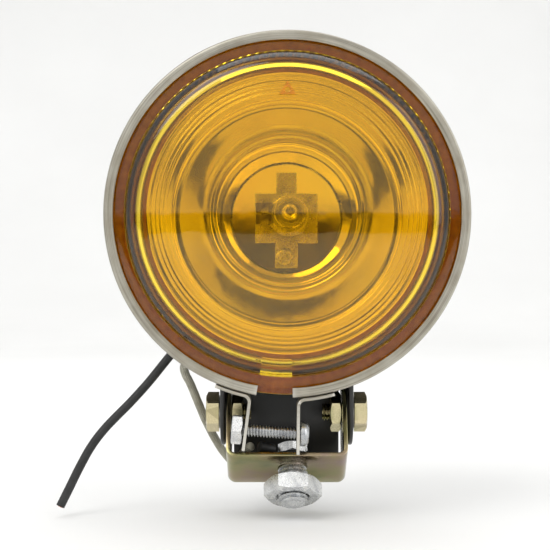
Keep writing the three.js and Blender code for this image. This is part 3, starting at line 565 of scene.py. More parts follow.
def tube(path, radius, sides=20, relief=None):
    """A closed tube with flat ends along a path in metres, with a UV map whose u runs
    once round it and v counts turns of its own girth along it."""
    bm = bmesh.new()
    uv = bm.loops.layers.uv.new("UVMap")
    side = Vector((1, 0, 0))
    rings, lengths, travelled = [], [], 0.0
    for i, point in enumerate(path):
        ahead = path[min(i + 1, len(path) - 1)] - path[max(i - 1, 0)]
        ahead.normalize()
        side = (side - ahead * side.dot(ahead)).normalized()
        up = ahead.cross(side)
        travelled += (point - path[i - 1]).length if i else 0.0
        ring = []
        for k in range(sides):
            angle = FULL * k / sides
            out = radius + (relief(k / sides, travelled / (FULL * radius)) if relief else 0.0)
            ring.append(bm.verts.new(point + out * (side * math.cos(angle) + up * math.sin(angle))))
        rings.append(ring)
        lengths.append(travelled / (FULL * radius))
    for (low, high), (near, far) in zip(zip(rings, rings[1:]), zip(lengths, lengths[1:])):
        for k in range(sides):
            face = bm.faces.new((low[k], low[(k + 1) % sides], high[(k + 1) % sides], high[k]))
            share = (k / sides, (k + 1) / sides)
            spots = ((share[0], near), (share[1], near), (share[1], far), (share[0], far))
            for loop, spot in zip(face.loops, spots):
                loop[uv].uv = spot
    for ring in (rings[0][::-1], rings[-1]):
        bm.faces.new(ring)
    return bm


# ---- Leads ----
WIRE_R = 0.0015
FEED_ROUTE = [
    (-0.0390, 0.0085, 0.0423), (-0.0407, 0.0085, 0.0400), (-0.0429, 0.0085, 0.0373),
    (-0.0458, 0.0084, 0.0337), (-0.0491, 0.0081, 0.0296), (-0.0526, 0.0076, 0.0256),
    (-0.0564, 0.0071, 0.0215), (-0.0606, 0.0065, 0.0173), (-0.0644, 0.0060, 0.0133),
    (-0.0676, 0.0055, 0.0093), (-0.0702, 0.0050, 0.0053), (-0.0724, 0.0045, 0.0012),
    (-0.0744, 0.0040, -0.0028), (-0.0763, 0.0035, -0.0068), (-0.0783, 0.0030, -0.0109),
    (-0.0793, 0.0027, -0.0130),
]
EARTH_ROUTE = [
    (-0.0346, 0.0085, 0.0389), (-0.0363, 0.0087, 0.0367), (-0.0376, 0.0106, 0.0340),
    (-0.0372, 0.0136, 0.0312), (-0.0356, 0.0168, 0.0274), (-0.0332, 0.0198, 0.0209),
    (-0.0306, 0.0218, 0.0142), (-0.0279, 0.0236, 0.0086), (-0.0254, 0.0246, 0.0042),
    (-0.0229, 0.0243, 0.0010), (-0.0206, 0.0216, -0.0008), (-0.0192, 0.0176, -0.0012),
    (-0.0184, 0.0132, -0.0004), (-0.0180, 0.0096, 0.0016), (-0.0175, 0.0058, 0.0040),
    (-0.0162, 0.0022, 0.0062), (-0.0141, -0.0006, 0.0080),
]
STRAND_R = 0.00028
STRAND_RING = 0.00068
STRAND_OUT = 0.0002


def feed_lead():
    path = smooth_path(FEED_ROUTE)
    lead = piece("feed_lead_insulation", tube(path, WIRE_R, 24), Matrix(), PVC, "feed_lead")
    end = path[-1]
    ahead = (path[-1] - path[-2]).normalized()
    side = ahead.orthogonal().normalized()
    up = ahead.cross(side)
    places = [Vector()] + [
        STRAND_RING * (side * math.cos(FULL * k / 6) + up * math.sin(FULL * k / 6))
        for k in range(6)
    ]
    strands = joined(*(
        tube([end + spot - ahead * STRAND_R, end + spot + ahead * STRAND_OUT], STRAND_R, 10)
        for spot in places
    ))
    core = piece("feed_lead_strands", strands, Matrix(), COPPER, body="head")


def braid_relief(around, along_it):
    one = math.sin(FULL * BRAID_ENDS * (around + along_it))
    two = math.sin(FULL * BRAID_ENDS * (around - along_it))
    return 0.00005 * one * two


def earth_lead():
    path = smooth_path(EARTH_ROUTE, 10)
    bm = tube(path, WIRE_R - 0.00005, 56, braid_relief)
    bmesh.ops.recalc_face_normals(bm, faces=bm.faces)
    mesh = bpy.data.meshes.new("earth_lead_braid")
    bm.to_mesh(mesh)
    bm.free()
    mesh.materials.append(BRAID)
    mesh.shade_smooth()
    lead = bpy.data.objects.new("earth_lead_braid", mesh)
    bpy.context.scene.collection.objects.link(lead)
    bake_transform(lead)
    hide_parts("earth_lead")


feed_lead()
earth_lead()

# ---- Rim stack, about the lamp's axis and back from the rim's front plane ----
RIM_R = 60.0
BAND_WALL = 0.8
BAND_DEPTH = 9.9
LIP_IN_R = 56.7
REAR_LIP_IN_R = 56.9
GAP_HALF = 6.0
STACK_R = 58.9


def rim_band():
    inner = RIM_R - BAND_WALL
    outline = eased([
        (LIP_IN_R, 0.0, 0.25), (RIM_R, 0.0, 1.1), (RIM_R, BAND_DEPTH, 1.1),
        (REAR_LIP_IN_R, BAND_DEPTH, 0.2), (REAR_LIP_IN_R, BAND_DEPTH - BAND_WALL, 0.2),
        (inner, BAND_DEPTH - BAND_WALL, 0.3), (inner, BAND_WALL, 0.3), (LIP_IN_R, BAND_WALL, 0.25),
    ], 0.2, 5)
    opening = math.asin(GAP_HALF / RIM_R)
    bm = bmesh.new()
    section = bm.faces.new([bm.verts.new((p[0], p[1], 0)) for p in outline])
    bmesh.ops.rotate(bm, verts=bm.verts,
                     matrix=Matrix.Rotation(math.radians(90) - opening, 3, "Y").inverted()
                     @ Matrix.Rotation(math.radians(180), 3, "Y"))
    bmesh.ops.spin(bm, geom=[section, *section.edges, *section.verts], cent=(0, 0, 0),
                   axis=(0, 1, 0), angle=FULL - 2 * opening, steps=236)
    bmesh.ops.remove_doubles(bm, verts=bm.verts, dist=1e-4)
    piece("clamp_band", bm, BAND, STRIP, "rim_band", sharp=40)


FLANGE_Y = (1.1, 4.6)
DOME_R = 53.3
DOME_FRONT = -12.7
SHOULDER_R = 46.0
FACE_SAG = 4.7
INNER_SHOULDER_R = 43.9
INNER_WALL_R = 50.3
GLASS_WALL = 3.0
TEETH = 120


def dome_line(cap_r, front, wall_r, wall_y, steps):
    """Points over a shallow face and round its shoulder down to the flange."""
    sphere = (cap_r ** 2 + FACE_SAG ** 2) / (2 * FACE_SAG)
    line = []
    for i in range(steps + 1):
        r = cap_r * i / steps
        line.append((r, front + sphere - math.sqrt(sphere ** 2 - r ** 2)))
    for i in range(1, steps // 3 + 1):
        angle = math.pi / 2 * i / (steps // 3)
        line.append((cap_r + (wall_r - cap_r) * math.sin(angle),
                     wall_y - (wall_y - front - FACE_SAG) * math.cos(angle)))
    return line


def ridge(r):
    """Height of the pressed rings on the glass's inside at a radius."""
    rings = 0.0
    if 38.4 < r < INNER_SHOULDER_R:
        rings = 0.16 * (0.5 - 0.5 * math.cos(FULL * (r - 38.4) / 1.375))
    if 22.6 < r < 24.4:
        rings = 0.18 * (0.5 - 0.5 * math.cos(FULL * (r - 22.6) / 1.8))
    return rings


def lens():
    outer = dome_line(SHOULDER_R, DOME_FRONT, DOME_R, FLANGE_Y[0], 36)
    inner = dome_line(INNER_SHOULDER_R, DOME_FRONT + GLASS_WALL, INNER_WALL_R, FLANGE_Y[1], 120)
    inner = [(r, y + ridge(r)) for r, y in inner]
    outline = [*outer, (STACK_R - 0.3, FLANGE_Y[0]), (STACK_R, FLANGE_Y[0] + 0.3),
               (STACK_R, FLANGE_Y[1] - 0.3), (STACK_R - 0.3, FLANGE_Y[1]), *inner[::-1]]
    bm = spun(outline, 2 * TEETH)
    for vert in bm.verts:
        r = math.hypot(vert.co.x, vert.co.z)
        if vert.co.y > FLANGE_Y[1] - 3.4 and INNER_SHOULDER_R + 2 < r < INNER_WALL_R + 0.2:
            step = round(math.atan2(vert.co.z, vert.co.x) / (math.pi / TEETH))
            vert.co.y -= 0.35 if step % 2 else 0.0
    glass = piece("amber_lens", bm, LAMP, AMBER, "lens", sharp=50)
    return glass


MARK_UP = 39.0  # the moulded mark above the lamp's axis
MARK_R = 3.2


def lens_mark():
    """A plain triangle moulded on the glass that says which way up the lens goes."""
    sphere = (SHOULDER_R ** 2 + FACE_SAG ** 2) / (2 * FACE_SAG)
    surface = DOME_FRONT + sphere - math.sqrt(sphere ** 2 - MARK_UP ** 2)
    slope = math.asin(MARK_UP / sphere)
    outline = [(MARK_R * math.cos(a), MARK_R * math.sin(a)) for a in
               (math.radians(90 + 120 * k) for k in range(3))]
    bm = plate(outline, [(0.0, 0.0, MARK_R * 0.27)], 0.5, 0.12)
    bmesh.ops.rotate(bm, verts=bm.verts, matrix=Matrix.Rotation(math.pi / 2 - slope, 3, "X"))
    moved(bm, 0, surface - 0.1, MARK_UP)
    mark = piece("lens_arrow_mark", bm, LAMP, AMBER, body="head")


GASKET_IN_R = 46.9
GASKET_Y = (4.9, 6.4)
MOUTH_R = 46.0
REFLECTOR_Y = 6.7
REFLECTOR_WALL = 0.8
FOCUS = 15.5
CUP_R = 19.6
CUP_Y = 38.03
BULB_HOLE_R = 8.5


def gasket():
    """The gasket's inner edge is gathered in small ribs that show through the glass."""
    bm = spun(eased([(GASKET_IN_R, GASKET_Y[0]), (STACK_R, GASKET_Y[0]),
                     (STACK_R, GASKET_Y[1]), (GASKET_IN_R, GASKET_Y[1])], 0.3), 2 * TEETH)
    for vert in bm.verts:
        if math.hypot(vert.co.x, vert.co.z) < GASKET_IN_R + 1 and vert.co.y < GASKET_Y[0] + 0.5:
            step = round(math.atan2(vert.co.z, vert.co.x) / (math.pi / TEETH))
            vert.co.y += 0.25 if step % 2 else 0.0
    piece("ribbed_gasket", bm, LAMP, CORK, "lens_gasket")


def bowl_y(r):
    return REFLECTOR_Y + (MOUTH_R ** 2 - r ** 2) / (4 * FOCUS)


def bead(r):
    """Height of the rolled beads in the reflector at a radius."""
    lift = 0.0
    for middle, width in ((37.8, 1.6), (24.5, 1.4)):
        lift += 0.35 * math.exp(-((r - middle) / width * 2) ** 2)
    return lift


def reflector():
    steps = 90
    rings = [MOUTH_R + (CUP_R - MOUTH_R) * i / steps for i in range(steps + 1)]
    front = [(r, bowl_y(r) - bead(r)) for r in rings]
    back = [(r + REFLECTOR_WALL, bowl_y(r) + REFLECTOR_WALL) for r in rings[::6]]
    rear = CUP_Y + REFLECTOR_WALL
    outline = [
        (STACK_R, REFLECTOR_Y), (MOUTH_R + 0.8, REFLECTOR_Y), *front, (CUP_R - 0.1, CUP_Y - 0.4),
        (CUP_R - 0.5, CUP_Y), (BULB_HOLE_R, CUP_Y), (BULB_HOLE_R, rear), (CUP_R + 0.8, rear),
        *back[::-1], (STACK_R, REFLECTOR_Y + REFLECTOR_WALL),
    ]
    piece("mirror_reflector", spun(outline, 144), LAMP, MIRROR, "reflector", sharp=28)


SHELL_R = 54.0
DRUM_R = 53.4
DRUM_END = 34.0
SHELL_DEPTH = 62.0
BACK_R = 18.0
SHELL_Y = (7.8, 8.8)


def shell():
    def line(inset, steps=16):
        made = [(SHELL_R - inset, SHELL_Y[1]), (DRUM_R - inset, DRUM_END)]
        for i in range(1, steps + 1):
            angle = math.pi / 2 * i / steps
            r = BACK_R + (DRUM_R - BACK_R) * math.cos(angle)
            y = DRUM_END + (SHELL_DEPTH - DRUM_END) * math.sin(angle)
            made.append((r - inset * math.cos(angle), y - inset * math.sin(angle)))
        return made
    outer = line(0.0)
    inner = line(1.0)
    inner[0] = (inner[0][0], SHELL_Y[0])
    outline = [
        (0, SHELL_DEPTH), *outer[::-1], (STACK_R - 0.2, SHELL_Y[1]), (STACK_R, SHELL_Y[1] - 0.3),
        (STACK_R, SHELL_Y[0]), *inner, (0, SHELL_DEPTH - 1.0),
    ]
    piece("lamp_shell", spun(outline, 144), LAMP, PAINT, "housing_shell")


GROMMET_ANGLE = math.radians(37.5)
GROMMET_DEPTH = 28.0
GROMMET_SEAT = 51.79
WIRE_SPACING = 2.8


def grommet():
    bm = spun(eased([
        (0, GROMMET_SEAT - 2.3), (6.0, GROMMET_SEAT - 2.3), (6.0, GROMMET_SEAT),
        (4.7, GROMMET_SEAT), (4.7, SHELL_R + 0.3), (6.5, SHELL_R + 0.3),
        (5.5, SHELL_R + 2.8), (0, SHELL_R + 2.8),
    ], 0.5), 48)
    collars = [
        moved(spun(eased([(1.55, SHELL_R + 2.4), (2.5, SHELL_R + 2.4), (2.1, SHELL_R + 2.8, 0.2),
                          (1.55, SHELL_R + 2.8)], 0.1), 32), x=side * WIRE_SPACING)
        for side in (1, -1)
    ]
    whole = joined(bm, *collars)
    turn = Matrix.Rotation(GROMMET_ANGLE, 3, "Y") @ Matrix.Rotation(math.radians(-90), 3, "X")
    bmesh.ops.rotate(whole, verts=whole.verts, matrix=turn)
    piece("wire_grommet", moved(whole, y=GROMMET_DEPTH), LAMP, RUBBER, "lead_grommet")


# ---- Bulb and its holder ----
BULB_X = 1.0
BULB_Z = 1.3
HOLDER_Y = 36.73
HOLDER_HALF = 11.0
HOLDER_TOP = 8.75
FOOT_HALF = 4.0
FOOT_BOTTOM = -17.6
TONGUE_HALF = 3.55
TONGUE_TOP = 16.1
SCREW_X = -0.8
SCREW_Z = -13.8
COLLAR_Y = 35.23
COLLAR_R = 7.7
BASE_R = 5.9
BULB_END = 44.93
GLASS_R = 5.6
GLASS_TIP = COLLAR_Y - 25.3


def holder():
    half, top, tongue = HOLDER_HALF, HOLDER_TOP, TONGUE_HALF
    outline = [
        (-half, -top), (-FOOT_HALF, -top), (-FOOT_HALF, FOOT_BOTTOM), (FOOT_HALF, FOOT_BOTTOM),
        (FOOT_HALF, -top), (half, -top), (half, top), (tongue, top), (tongue, TONGUE_TOP),
        (-tongue, TONGUE_TOP), (-tongue, top), (-half, top),
    ]
    holes = [(BULB_X, BULB_Z, BASE_R + 0.3), (SCREW_X, SCREW_Z, 1.9)]
    bm = plate(outline, holes, 1.0, 0.3)
    bmesh.ops.rotate(bm, verts=bm.verts, matrix=Matrix.Rotation(math.pi / 2, 3, "X"))
    piece("bulb_holder_plate", moved(bm, y=HOLDER_Y + 0.5), LAMP, TIN, "bulb_holder")


def holder_screw():
    head = HOLDER_Y - 0.3
    outline = eased([
        (0, head - 0.9), (1.3, head - 0.9), (1.5, head - 1.6), (2.4, head - 1.6, 0.4),
        (3.2, head - 0.8, 0.4), (3.2, head), (1.6, head), (1.6, CUP_Y + 3.5), (0, CUP_Y + 3.5),
    ], 0.15)
    bm = moved(spun(outline, 40), x=SCREW_X, z=SCREW_Z)
    piece("holder_rivet_screw", bm, LAMP, BRIGHT_ZINC, "holder_screw")


def bulb():
    rear = COLLAR_Y + 1.2
    base = spun(eased([
        (0, COLLAR_Y), (COLLAR_R - 1.4, COLLAR_Y), (COLLAR_R - 1.0, COLLAR_Y + 0.25),
        (COLLAR_R, COLLAR_Y + 0.25), (COLLAR_R, rear), (BASE_R, rear), (BASE_R, BULB_END - 1.5),
        (BASE_R - 1.5, BULB_END), (0, BULB_END),
    ], 0.2), 64)
    piece("bulb_cap", moved(base, x=BULB_X, z=BULB_Z), LAMP, BRIGHT_ZINC, "bulb_base")
    tip, back, inner = GLASS_TIP, COLLAR_Y - 0.3, GLASS_R - 0.8
    glass = spun(eased([
        (0, tip), (1.7, tip + 0.4), (2.0, tip + 3.0), (4.4, tip + 5.6), (GLASS_R, tip + 8.5),
        (GLASS_R, back, 0.2), (inner, back, 0.2), (inner, tip + 8.7), (3.6, tip + 6.5),
        (0, tip + 5.6),
    ], 1.6, 5), 56)
    piece("bulb_envelope", moved(glass, x=BULB_X, z=BULB_Z), LAMP, CLEAR, "bulb_glass")


def bulb_filament():
    y = REFLECTOR_Y + MOUTH_R ** 2 / (4 * FOCUS) - FOCUS
    turns, half, radius = 11, 2.5, 0.62
    coil = [
        Vector((half * (2 * k / (turns * 12) - 1), y + radius * math.cos(FULL * k / 12),
                radius * math.sin(FULL * k / 12)))
        for k in range(turns * 12 + 1)
    ]
    posts = [
        [Vector((side * half, y + 0.6, 0)), Vector((side * 2.3, y + 4, 0)),
         Vector((side * 1.8, COLLAR_Y - 0.6, 0))]
        for side in (1, -1)
    ]
    shape = joined(tube(coil, 0.16, 8), *(tube(smooth_path(post), 0.38, 12) for post in posts))
    piece("filament_coil", moved(shape, x=BULB_X, z=BULB_Z), LAMP, TUNGSTEN, "bulb_filament")


def bulb_clip():
    """A flat spring leaf, split into two fingers that press the bulb's collar down."""
    front = COLLAR_Y - 0.6
    fingers = []
    for middle in (3.65, -0.4):
        outline = [(0, -1.75), (5.9, -1.75), (5.9, 1.75), (0, 1.75)]
        leaf = plate(outline, [], 0.5, 0.15)
        rise = math.radians(22)
        bent(leaf, [(1.2, rise), (0.8, -rise), (2.5, 0.0), (0.8, math.radians(10))],
             both_ways=False, cuts=4)
        bmesh.ops.rotate(leaf, verts=leaf.verts, matrix=Matrix.Rotation(math.pi / 2, 3, "X"))
        fingers.append(moved(leaf, -HOLDER_HALF + 0.1, front + 0.55, middle))
    piece("bulb_clip_fingers", joined(*fingers), LAMP, SPRING, "bulb_clip")


# ---- Clamp ears and their screw, about the lamp's axis and turned with the band ----
EAR_THICK = 1.0
EAR_FOOT = (math.radians(18.7), math.radians(9.42))
EAR_BEND = 2.3
EAR_SPLAY = math.atan(0.06)
EAR_LEG = 15.65
EAR_BOTTOM = 78  # below the lamp's axis
EAR_GAP = 0.3  # between the band and an ear's foot
CLAMP_HOLE_R = 2.3
SCREW_DROP = 71.7
SCREW_HALF = 9.4  # from the middle to the outside of an ear, with the gap
CLAMP_HEAD = 2.9
CLAMP_NUT = 3.6
CLAMP_NUT_AF = 9.0
CLAMP_NUT_TURN = math.radians(30)  # a flat faces down
NUT_FACE = SCREW_HALF + CLAMP_NUT_AF / 2 * math.tan(EAR_SPLAY)  # clear of the splayed ear


def ear(side, name, node):
    foot_r = RIM_R + EAR_GAP + EAR_THICK / 2
    foot = foot_r * (EAR_FOOT[0] - EAR_FOOT[1])
    turn = math.radians(90) - EAR_FOOT[1] + EAR_SPLAY
    bend = EAR_BEND * turn
    reach = foot + bend + EAR_LEG
    bolt = reach - (EAR_BOTTOM - SCREW_DROP)
    outline = [(0, 0), (reach, 0), (reach, BAND_DEPTH), (0, BAND_DEPTH)]
    bm = plate(outline, [(bolt, BAND_DEPTH / 2, CLAMP_HOLE_R)], EAR_THICK, 0.16)
    bent(bm, [(foot, EAR_FOOT[1] - EAR_FOOT[0]), (bend, turn)], both_ways=False)
    heading = Matrix.Rotation(-(math.pi + EAR_FOOT[0]), 3, "Y")
    bmesh.ops.rotate(bm, verts=bm.verts, matrix=heading)
    moved(bm, foot_r * math.sin(EAR_FOOT[0]), 0, -foot_r * math.cos(EAR_FOOT[0]))
    if side < 0:
        bmesh.ops.scale(bm, verts=bm.verts, vec=(-1, 1, 1))
    piece(name, bm, BAND, STRIP, node)


def carved(name, bm, cutter):
    """The first shape with the second cut out of it."""
    meshes = []
    for shape in (bm, cutter):
        mesh = bpy.data.meshes.new(name)
        bmesh.ops.recalc_face_normals(shape, faces=shape.faces)
        shape.to_mesh(mesh)
        shape.free()
        meshes.append(bpy.data.objects.new(name + "_blank", mesh))
        bpy.context.scene.collection.objects.link(meshes[-1])
    body, tool = meshes
    cut = body.modifiers.new("cut", "BOOLEAN")
    cut.operation = "DIFFERENCE"
    cut.solver = "EXACT"
    cut.object = tool
    done = bpy.data.meshes.new_from_object(
        body.evaluated_get(bpy.context.evaluated_depsgraph_get()))
    whole = bmesh.new()
    whole.from_mesh(done)
    bpy.data.meshes.remove(done)
    for used in meshes:
        mesh = used.data
        bpy.data.objects.remove(used)
        bpy.data.meshes.remove(mesh)
    return whole


def cross_cutter(reach, width, low, high):
    """The tool for a cross recess that goes into a head from high down to low along Y."""
    bars = []
    for turned in (False, True):
        bar = bmesh.new()
        bmesh.ops.create_cube(bar, size=1)
        size = (width, high - low, 2 * reach) if turned else (2 * reach, high - low, width)
        bmesh.ops.scale(bar, verts=bar.verts, vec=size)
        for vert in bar.verts:
            if vert.co.y < 0:
                vert.co.x *= 0.45 if not turned else 0.8
                vert.co.z *= 0.45 if turned else 0.8
        bars.append(moved(bar, y=(low + high) / 2))
    return bars


def clamp_screw():
    face = SCREW_HALF
    head = spun(eased([
        (0, face), (4.0, face, 0.25), (4.0, face + 1.6, 0.8), (2.9, face + CLAMP_HEAD - 0.1, 0.6),
        (0, face + CLAMP_HEAD),
    ], 0.3, 6), 64)
    for bar in cross_cutter(2.1, 0.95, face + 0.9, face + CLAMP_HEAD + 1):
        head = carved("clamp_head", head, bar)
    rod = threaded(2.0, 1.0, -NUT_FACE - CLAMP_NUT, face + 0.4, tip="low", point=0.4)
    bm = laid(joined(head, rod), "x")
    piece("clamp_screw_threaded", moved(bm, y=BAND_DEPTH / 2, z=-SCREW_DROP), BAND, BRIGHT_ZINC,
          "clamp_screw")


def clamp_nut():
    nut = hexagon(CLAMP_NUT_AF, -NUT_FACE - CLAMP_NUT, -NUT_FACE, bore=2.25, first=CLAMP_NUT_TURN)
    bm = laid(nut, "x")
    piece("clamp_nut_hex", moved(bm, y=BAND_DEPTH / 2, z=-SCREW_DROP), BAND, BRIGHT_ZINC,
          "clamp_nut")


# ---- Saddle and pivots, about the pivot's line ----
PIVOT_DROP = 67.5
LUG_R = 11.4
WEB_CLEAR = 0.4  # from the bracket's legs in to the saddle's web
WEB_SWEEP = 1.05  # left above the bracket's floor at the lowest of the web's swing
LUG_THICK = 1.6
LUG_X = 21.9
LUG_BEND = 2.0
PIVOT_HOLE_R = 3.5
DISC_X = (20.5, 21.0)
DISC_R = 10.6
WASHER_X = (22.8, 23.3)
WASHER_R = 5.7
HEAD_X = (23.4, 27.8)
NUT_X = (15.0, 18.9)
THREAD_X = 12.4
PIVOT_AF = 12.0
PIVOT_R = 3.2


def saddle_shade_web(arch_r):
    """The black plate that closes the saddle's rear between the bracket's legs, a dark sheet put in
    as painted shade where the gap behind the bracket holds only shadow.
    """
    half = LEG_HALF - SHEET - WEB_CLEAR
    drop = math.sqrt((PIVOT_HEIGHT - SHEET - WEB_SWEEP) ** 2 - LUG_R ** 2)
    outline = [(-half, -drop), (half, -drop)]
    for k in range(25):
        x = half * (1 - k / 12)
        outline.append((x, PIVOT_DROP - math.sqrt(arch_r ** 2 - x ** 2)))
    web = plate(outline, [], LUG_THICK, 0.3)
    return moved(laid(web, "z"), y=LUG_R - LUG_THICK / 2)


def saddle():
    arch_r = SHELL_R + 0.3 + LUG_THICK / 2
    arch = math.asin((LUG_X - LUG_BEND) / (arch_r + LUG_BEND))
    drop = PIVOT_DROP - (arch_r + LUG_BEND) * math.cos(arch)
    turn = math.pi / 2 + arch
    reach = arch_r * arch + LUG_BEND * turn + drop
    bm = plate(round_ended(reach, LUG_R), [(reach, 0, PIVOT_HOLE_R), (-reach, 0, PIVOT_HOLE_R)],
               LUG_THICK, 0.55)
    bent(bm, [(arch_r * arch, arch), (LUG_BEND * turn, -turn)])
    moved(bm, z=PIVOT_DROP - arch_r)
    # the web joined to the strap is the dark sheet of painted shade behind the bracket
    piece("saddle_strap", joined(bm, saddle_shade_web(arch_r)), PIVOT, PAINT, "mounting_saddle")


def ring(inner, outer, low, high, ease=0.12, steps=48):
    return spun(eased([(inner, low), (outer, low), (outer, high), (inner, high)], ease, 3), steps)


def pivots():
    for word, axis in (("left", "-x"), ("right", "x")):
        head = hexagon(PIVOT_AF, *HEAD_X, both=False)
        shank = threaded(PIVOT_R, 1.0, THREAD_X, HEAD_X[0] + 0.2, tip="low", point=0.5)
        piece(f"{word}_hex_bolt", laid(joined(head, shank), axis), PIVOT, YELLOW_ZINC,
              f"{word}_pivot_bolt")
        piece(f"{word}_hex_nut", laid(hexagon(PIVOT_AF, *NUT_X, bore=3.4), axis), PIVOT,
              YELLOW_ZINC, f"{word}_pivot_nut")
        piece(f"{word}_fibre_disc", laid(ring(PIVOT_HOLE_R, DISC_R, *DISC_X), axis), PIVOT,
              FIBRE, f"{word}_friction_disc")
        piece(f"{word}_plain_washer", laid(ring(PIVOT_HOLE_R, WASHER_R, *WASHER_X), axis), PIVOT,
              SPRING, f"{word}_pivot_washer")


# ---- Bracket and mounting stud, upright on the bracket's seat ----
LEG_HALF = 20.4
SHEET = 1.4
BRACKET_HALF_W = 11.0
BRACKET_BEND = 3.0
PIVOT_HEIGHT = 21.75
STUD_OFFSET = 2.0


def bracket():
    bend_r = BRACKET_BEND - SHEET / 2
    floor = LEG_HALF - BRACKET_BEND
    reach = floor + bend_r * math.pi / 2 + PIVOT_HEIGHT - BRACKET_BEND
    holes = [(reach, 0, PIVOT_HOLE_R), (-reach, 0, PIVOT_HOLE_R), (STUD_OFFSET, 0, 3.3)]
    bm = plate(round_ended(reach, BRACKET_HALF_W), holes, SHEET, 0.22)
    bent(bm, [(floor, 0.0), (bend_r * math.pi / 2, math.pi / 2)])
    piece("bent_bracket", moved(bm, -STUD_OFFSET, 0, SHEET / 2), BRACKET, YELLOW_ZINC, "u_bracket")


# ---- Stud and what is on it, along the stud's axis from the bracket's seat ----
STUD_R, STUD_PITCH = 5.0, 1.5
STUD_SPAN = (-12.5, 0.2)
STEM_R, STEM_PITCH = 3.0, 1.0
STEM_SPAN = (0.0, 8.8)
STEM_HOLE_R = 3.3
MOUNT_NUT_AF, MOUNT_NUT_BORE_R = 17.0, 5.3
MOUNT_NUT_SPAN = (-10.4, -4.4)
TOP_NUT_AF = 10.0
TOP_NUT_SPAN = (4.9, 8.5)
PAD_R, PAD_EDGE = 8.5, 0.6
PAD_SPAN = (1.7, 3.6)


def stud():
    thread = threaded(STUD_R, STUD_PITCH, *STUD_SPAN, tip="low", point=1.0, steps=48)
    stem = threaded(STEM_R, STEM_PITCH, *STEM_SPAN, tip="high", point=0.5)
    piece("threaded_stud", laid(joined(thread, stem), "z"), BRACKET, BRIGHT_ZINC, "mount_stud")
    nut = hexagon(MOUNT_NUT_AF, *MOUNT_NUT_SPAN, bore=MOUNT_NUT_BORE_R, first=math.radians(30))
    piece("mounting_nut_hex", laid(nut, "z"), BRACKET, BRIGHT_ZINC, "mounting_nut")
    top = hexagon(TOP_NUT_AF, *TOP_NUT_SPAN, bore=STEM_HOLE_R)
    piece("stud_locknut", laid(top, "z"), BRACKET, BRIGHT_ZINC, "stud_top_nut")
    low, high = PAD_SPAN
    pad = spun(eased([(STEM_HOLE_R, low), (PAD_R, low), (PAD_R, high - PAD_EDGE),
                      (PAD_R - PAD_EDGE, high), (STEM_HOLE_R, high)], 0.25), 64)
    piece("stud_rubber_pad", laid(pad, "z"), BRACKET, RUBBER, "stud_pad")


TERMINAL_R = 5.5
TERMINAL_LOW, TERMINAL_THICK = 3.9, 0.7
TERMINAL_HALF = 1.5  # half the tongue's width
TERMINAL_GAP = 0.3  # from the tongue to the sleeve
TERMINAL_TURN = math.radians(205)
SLEEVE = (7.0, 12.6)
SLEEVE_R = 2.0


def terminal():
    half = TERMINAL_HALF
    tongue = SLEEVE[0] - TERMINAL_GAP
    start = math.asin(half / TERMINAL_R)
    arc = [start + (FULL - 2 * start) * k / 40 for k in range(41)]
    outline = [(TERMINAL_R * math.cos(a), TERMINAL_R * math.sin(a)) for a in arc]
    outline += [(tongue, -half), (tongue, half)]
    tag = plate(outline, [(0, 0, STEM_HOLE_R)], TERMINAL_THICK, 0.15)
    bmesh.ops.rotate(tag, verts=tag.verts, matrix=Matrix.Rotation(TERMINAL_TURN, 3, "Z"))
    moved(tag, z=TERMINAL_LOW + TERMINAL_THICK / 2)
    piece("ring_terminal", tag, BRACKET, BRIGHT_ZINC, "earth_terminal")
    sleeve = laid(spun(eased([(0, SLEEVE[0]), (SLEEVE_R, SLEEVE[0], 0.5),
                              (SLEEVE_R, SLEEVE[1], 0.3), (0, SLEEVE[1])], 0.4), 32), "x")
    moved(sleeve, z=TERMINAL_LOW + SLEEVE_R)
    bmesh.ops.rotate(sleeve, verts=sleeve.verts, matrix=Matrix.Rotation(TERMINAL_TURN, 3, "Z"))
    piece("crimp_sleeve", sleeve, BRACKET, PVC, "terminal_sleeve")


rim_band()
lens()
lens_mark()
gasket()
reflector()
shell()
grommet()
holder()
holder_screw()
bulb()
bulb_filament()
bulb_clip()
ear(-1, "left_ear_strip", "left_clamp_ear")
ear(1, "right_ear_strip", "right_clamp_ear")
clamp_screw()
clamp_nut()
saddle()
pivots()
bracket()
stud()
terminal()
for node in ("bulb_connector", "inner_lead"):
    frame["nodes"][node].data.materials.clear()
    frame["nodes"][node].data.materials.append(PVC)

# ---- Floor, sweep and light ----
FLOOR_Z = -0.0165
SWEEP_START = 1.1
SWEEP_R = 0.7
STAGE_HALF = 8.0
STAGE_FRONT = -3.5
STAGE_TOP = 3.0


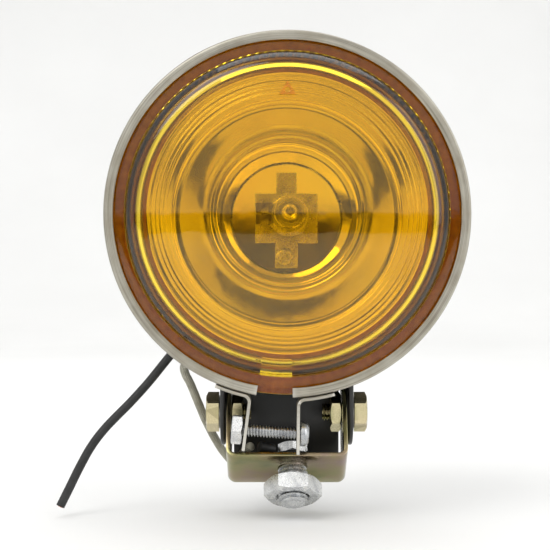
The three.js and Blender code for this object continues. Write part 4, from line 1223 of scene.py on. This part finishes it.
def stage():
    bm = bmesh.new()
    bend = [math.pi / 2 * k / 16 for k in range(17)]
    line = [(STAGE_FRONT, FLOOR_Z)]
    line += [(SWEEP_START + SWEEP_R * math.sin(a), FLOOR_Z + SWEEP_R * (1 - math.cos(a)))
             for a in bend]
    line.append((SWEEP_START + SWEEP_R, STAGE_TOP))
    verts = [bm.verts.new((-STAGE_HALF, y, z)) for y, z in line]
    edges = [bm.edges.new(pair) for pair in zip(verts, verts[1:])]
    wide = bmesh.ops.extrude_edge_only(bm, edges=edges)["geom"]
    far = [item for item in wide if isinstance(item, bmesh.types.BMVert)]
    bmesh.ops.translate(bm, verts=far, vec=(2 * STAGE_HALF, 0, 0))
    bmesh.ops.recalc_face_normals(bm, faces=bm.faces)
    mesh = bpy.data.meshes.new("paper_sweep")
    bm.to_mesh(mesh)
    bm.free()
    mesh.shade_smooth()
    mesh.materials.append(surfaced("pale paper", [(0.80, 0.80, 0.79), (0.84, 0.84, 0.83)], 300,
                                   (0.85, 0.95), 2, 0.02))
    sweep = bpy.data.objects.new("paper_sweep", mesh)
    bpy.context.scene.collection.objects.link(sweep)


def soft_light(name, place, size, power, tint=(1, 1, 1)):
    light = bpy.data.lights.new(name, "AREA")
    light.shape = "RECTANGLE"
    light.size, light.size_y = size
    light.energy = power
    light.color = tint
    lamp = bpy.data.objects.new(name, light)
    lamp.location = place
    aim = LAMP_CENTRE - Vector(place)
    lamp.rotation_euler = aim.to_track_quat("-Z", "Y").to_euler()
    bpy.context.scene.collection.objects.link(lamp)


HORIZON_UP = 0.0436  # sine of the height where the studio's bright half starts


def studio_world():
    """A pale surround with a darker low band on the side that the lamp faces."""
    world = bpy.data.worlds.new("studio")
    world.use_nodes = True
    nodes, links = world.node_tree.nodes, world.node_tree.links
    shade = nodes["Background"]
    where = nodes.new("ShaderNodeTexCoord").outputs["Generated"]
    split = nodes.new("ShaderNodeSeparateXYZ")
    links.new(where, split.inputs[0])
    low = nodes.new("ShaderNodeMapRange")
    low.inputs[1].default_value = HORIZON_UP - 0.004
    low.inputs[2].default_value = HORIZON_UP + 0.004
    links.new(split.outputs[2], low.inputs[0])
    ahead = nodes.new("ShaderNodeMapRange")
    ahead.inputs[1].default_value = -0.55
    ahead.inputs[2].default_value = -0.25
    links.new(split.outputs[1], ahead.inputs[0])
    bright = nodes.new("ShaderNodeMath")
    bright.operation = "MAXIMUM"
    links.new(low.outputs[0], bright.inputs[0])
    links.new(ahead.outputs[0], bright.inputs[1])
    tone = nodes.new("ShaderNodeMapRange")
    tone.inputs[3].default_value = 0.06
    tone.inputs[4].default_value = 0.9
    links.new(bright.outputs[0], tone.inputs[0])
    links.new(tone.outputs[0], shade.inputs["Strength"])
    shade.inputs["Color"].default_value = (1, 1, 1, 1)
    bpy.context.scene.world = world


stage()
studio_world()
soft_light("key", (-0.9, -1.1, 1.5), (1.2, 1.2), 15)
soft_light("fill", (1.3, -0.9, 0.7), (1.0, 1.4), 7)
soft_light("top", (0.1, 0.5, 1.6), (1.6, 1.2), 8)
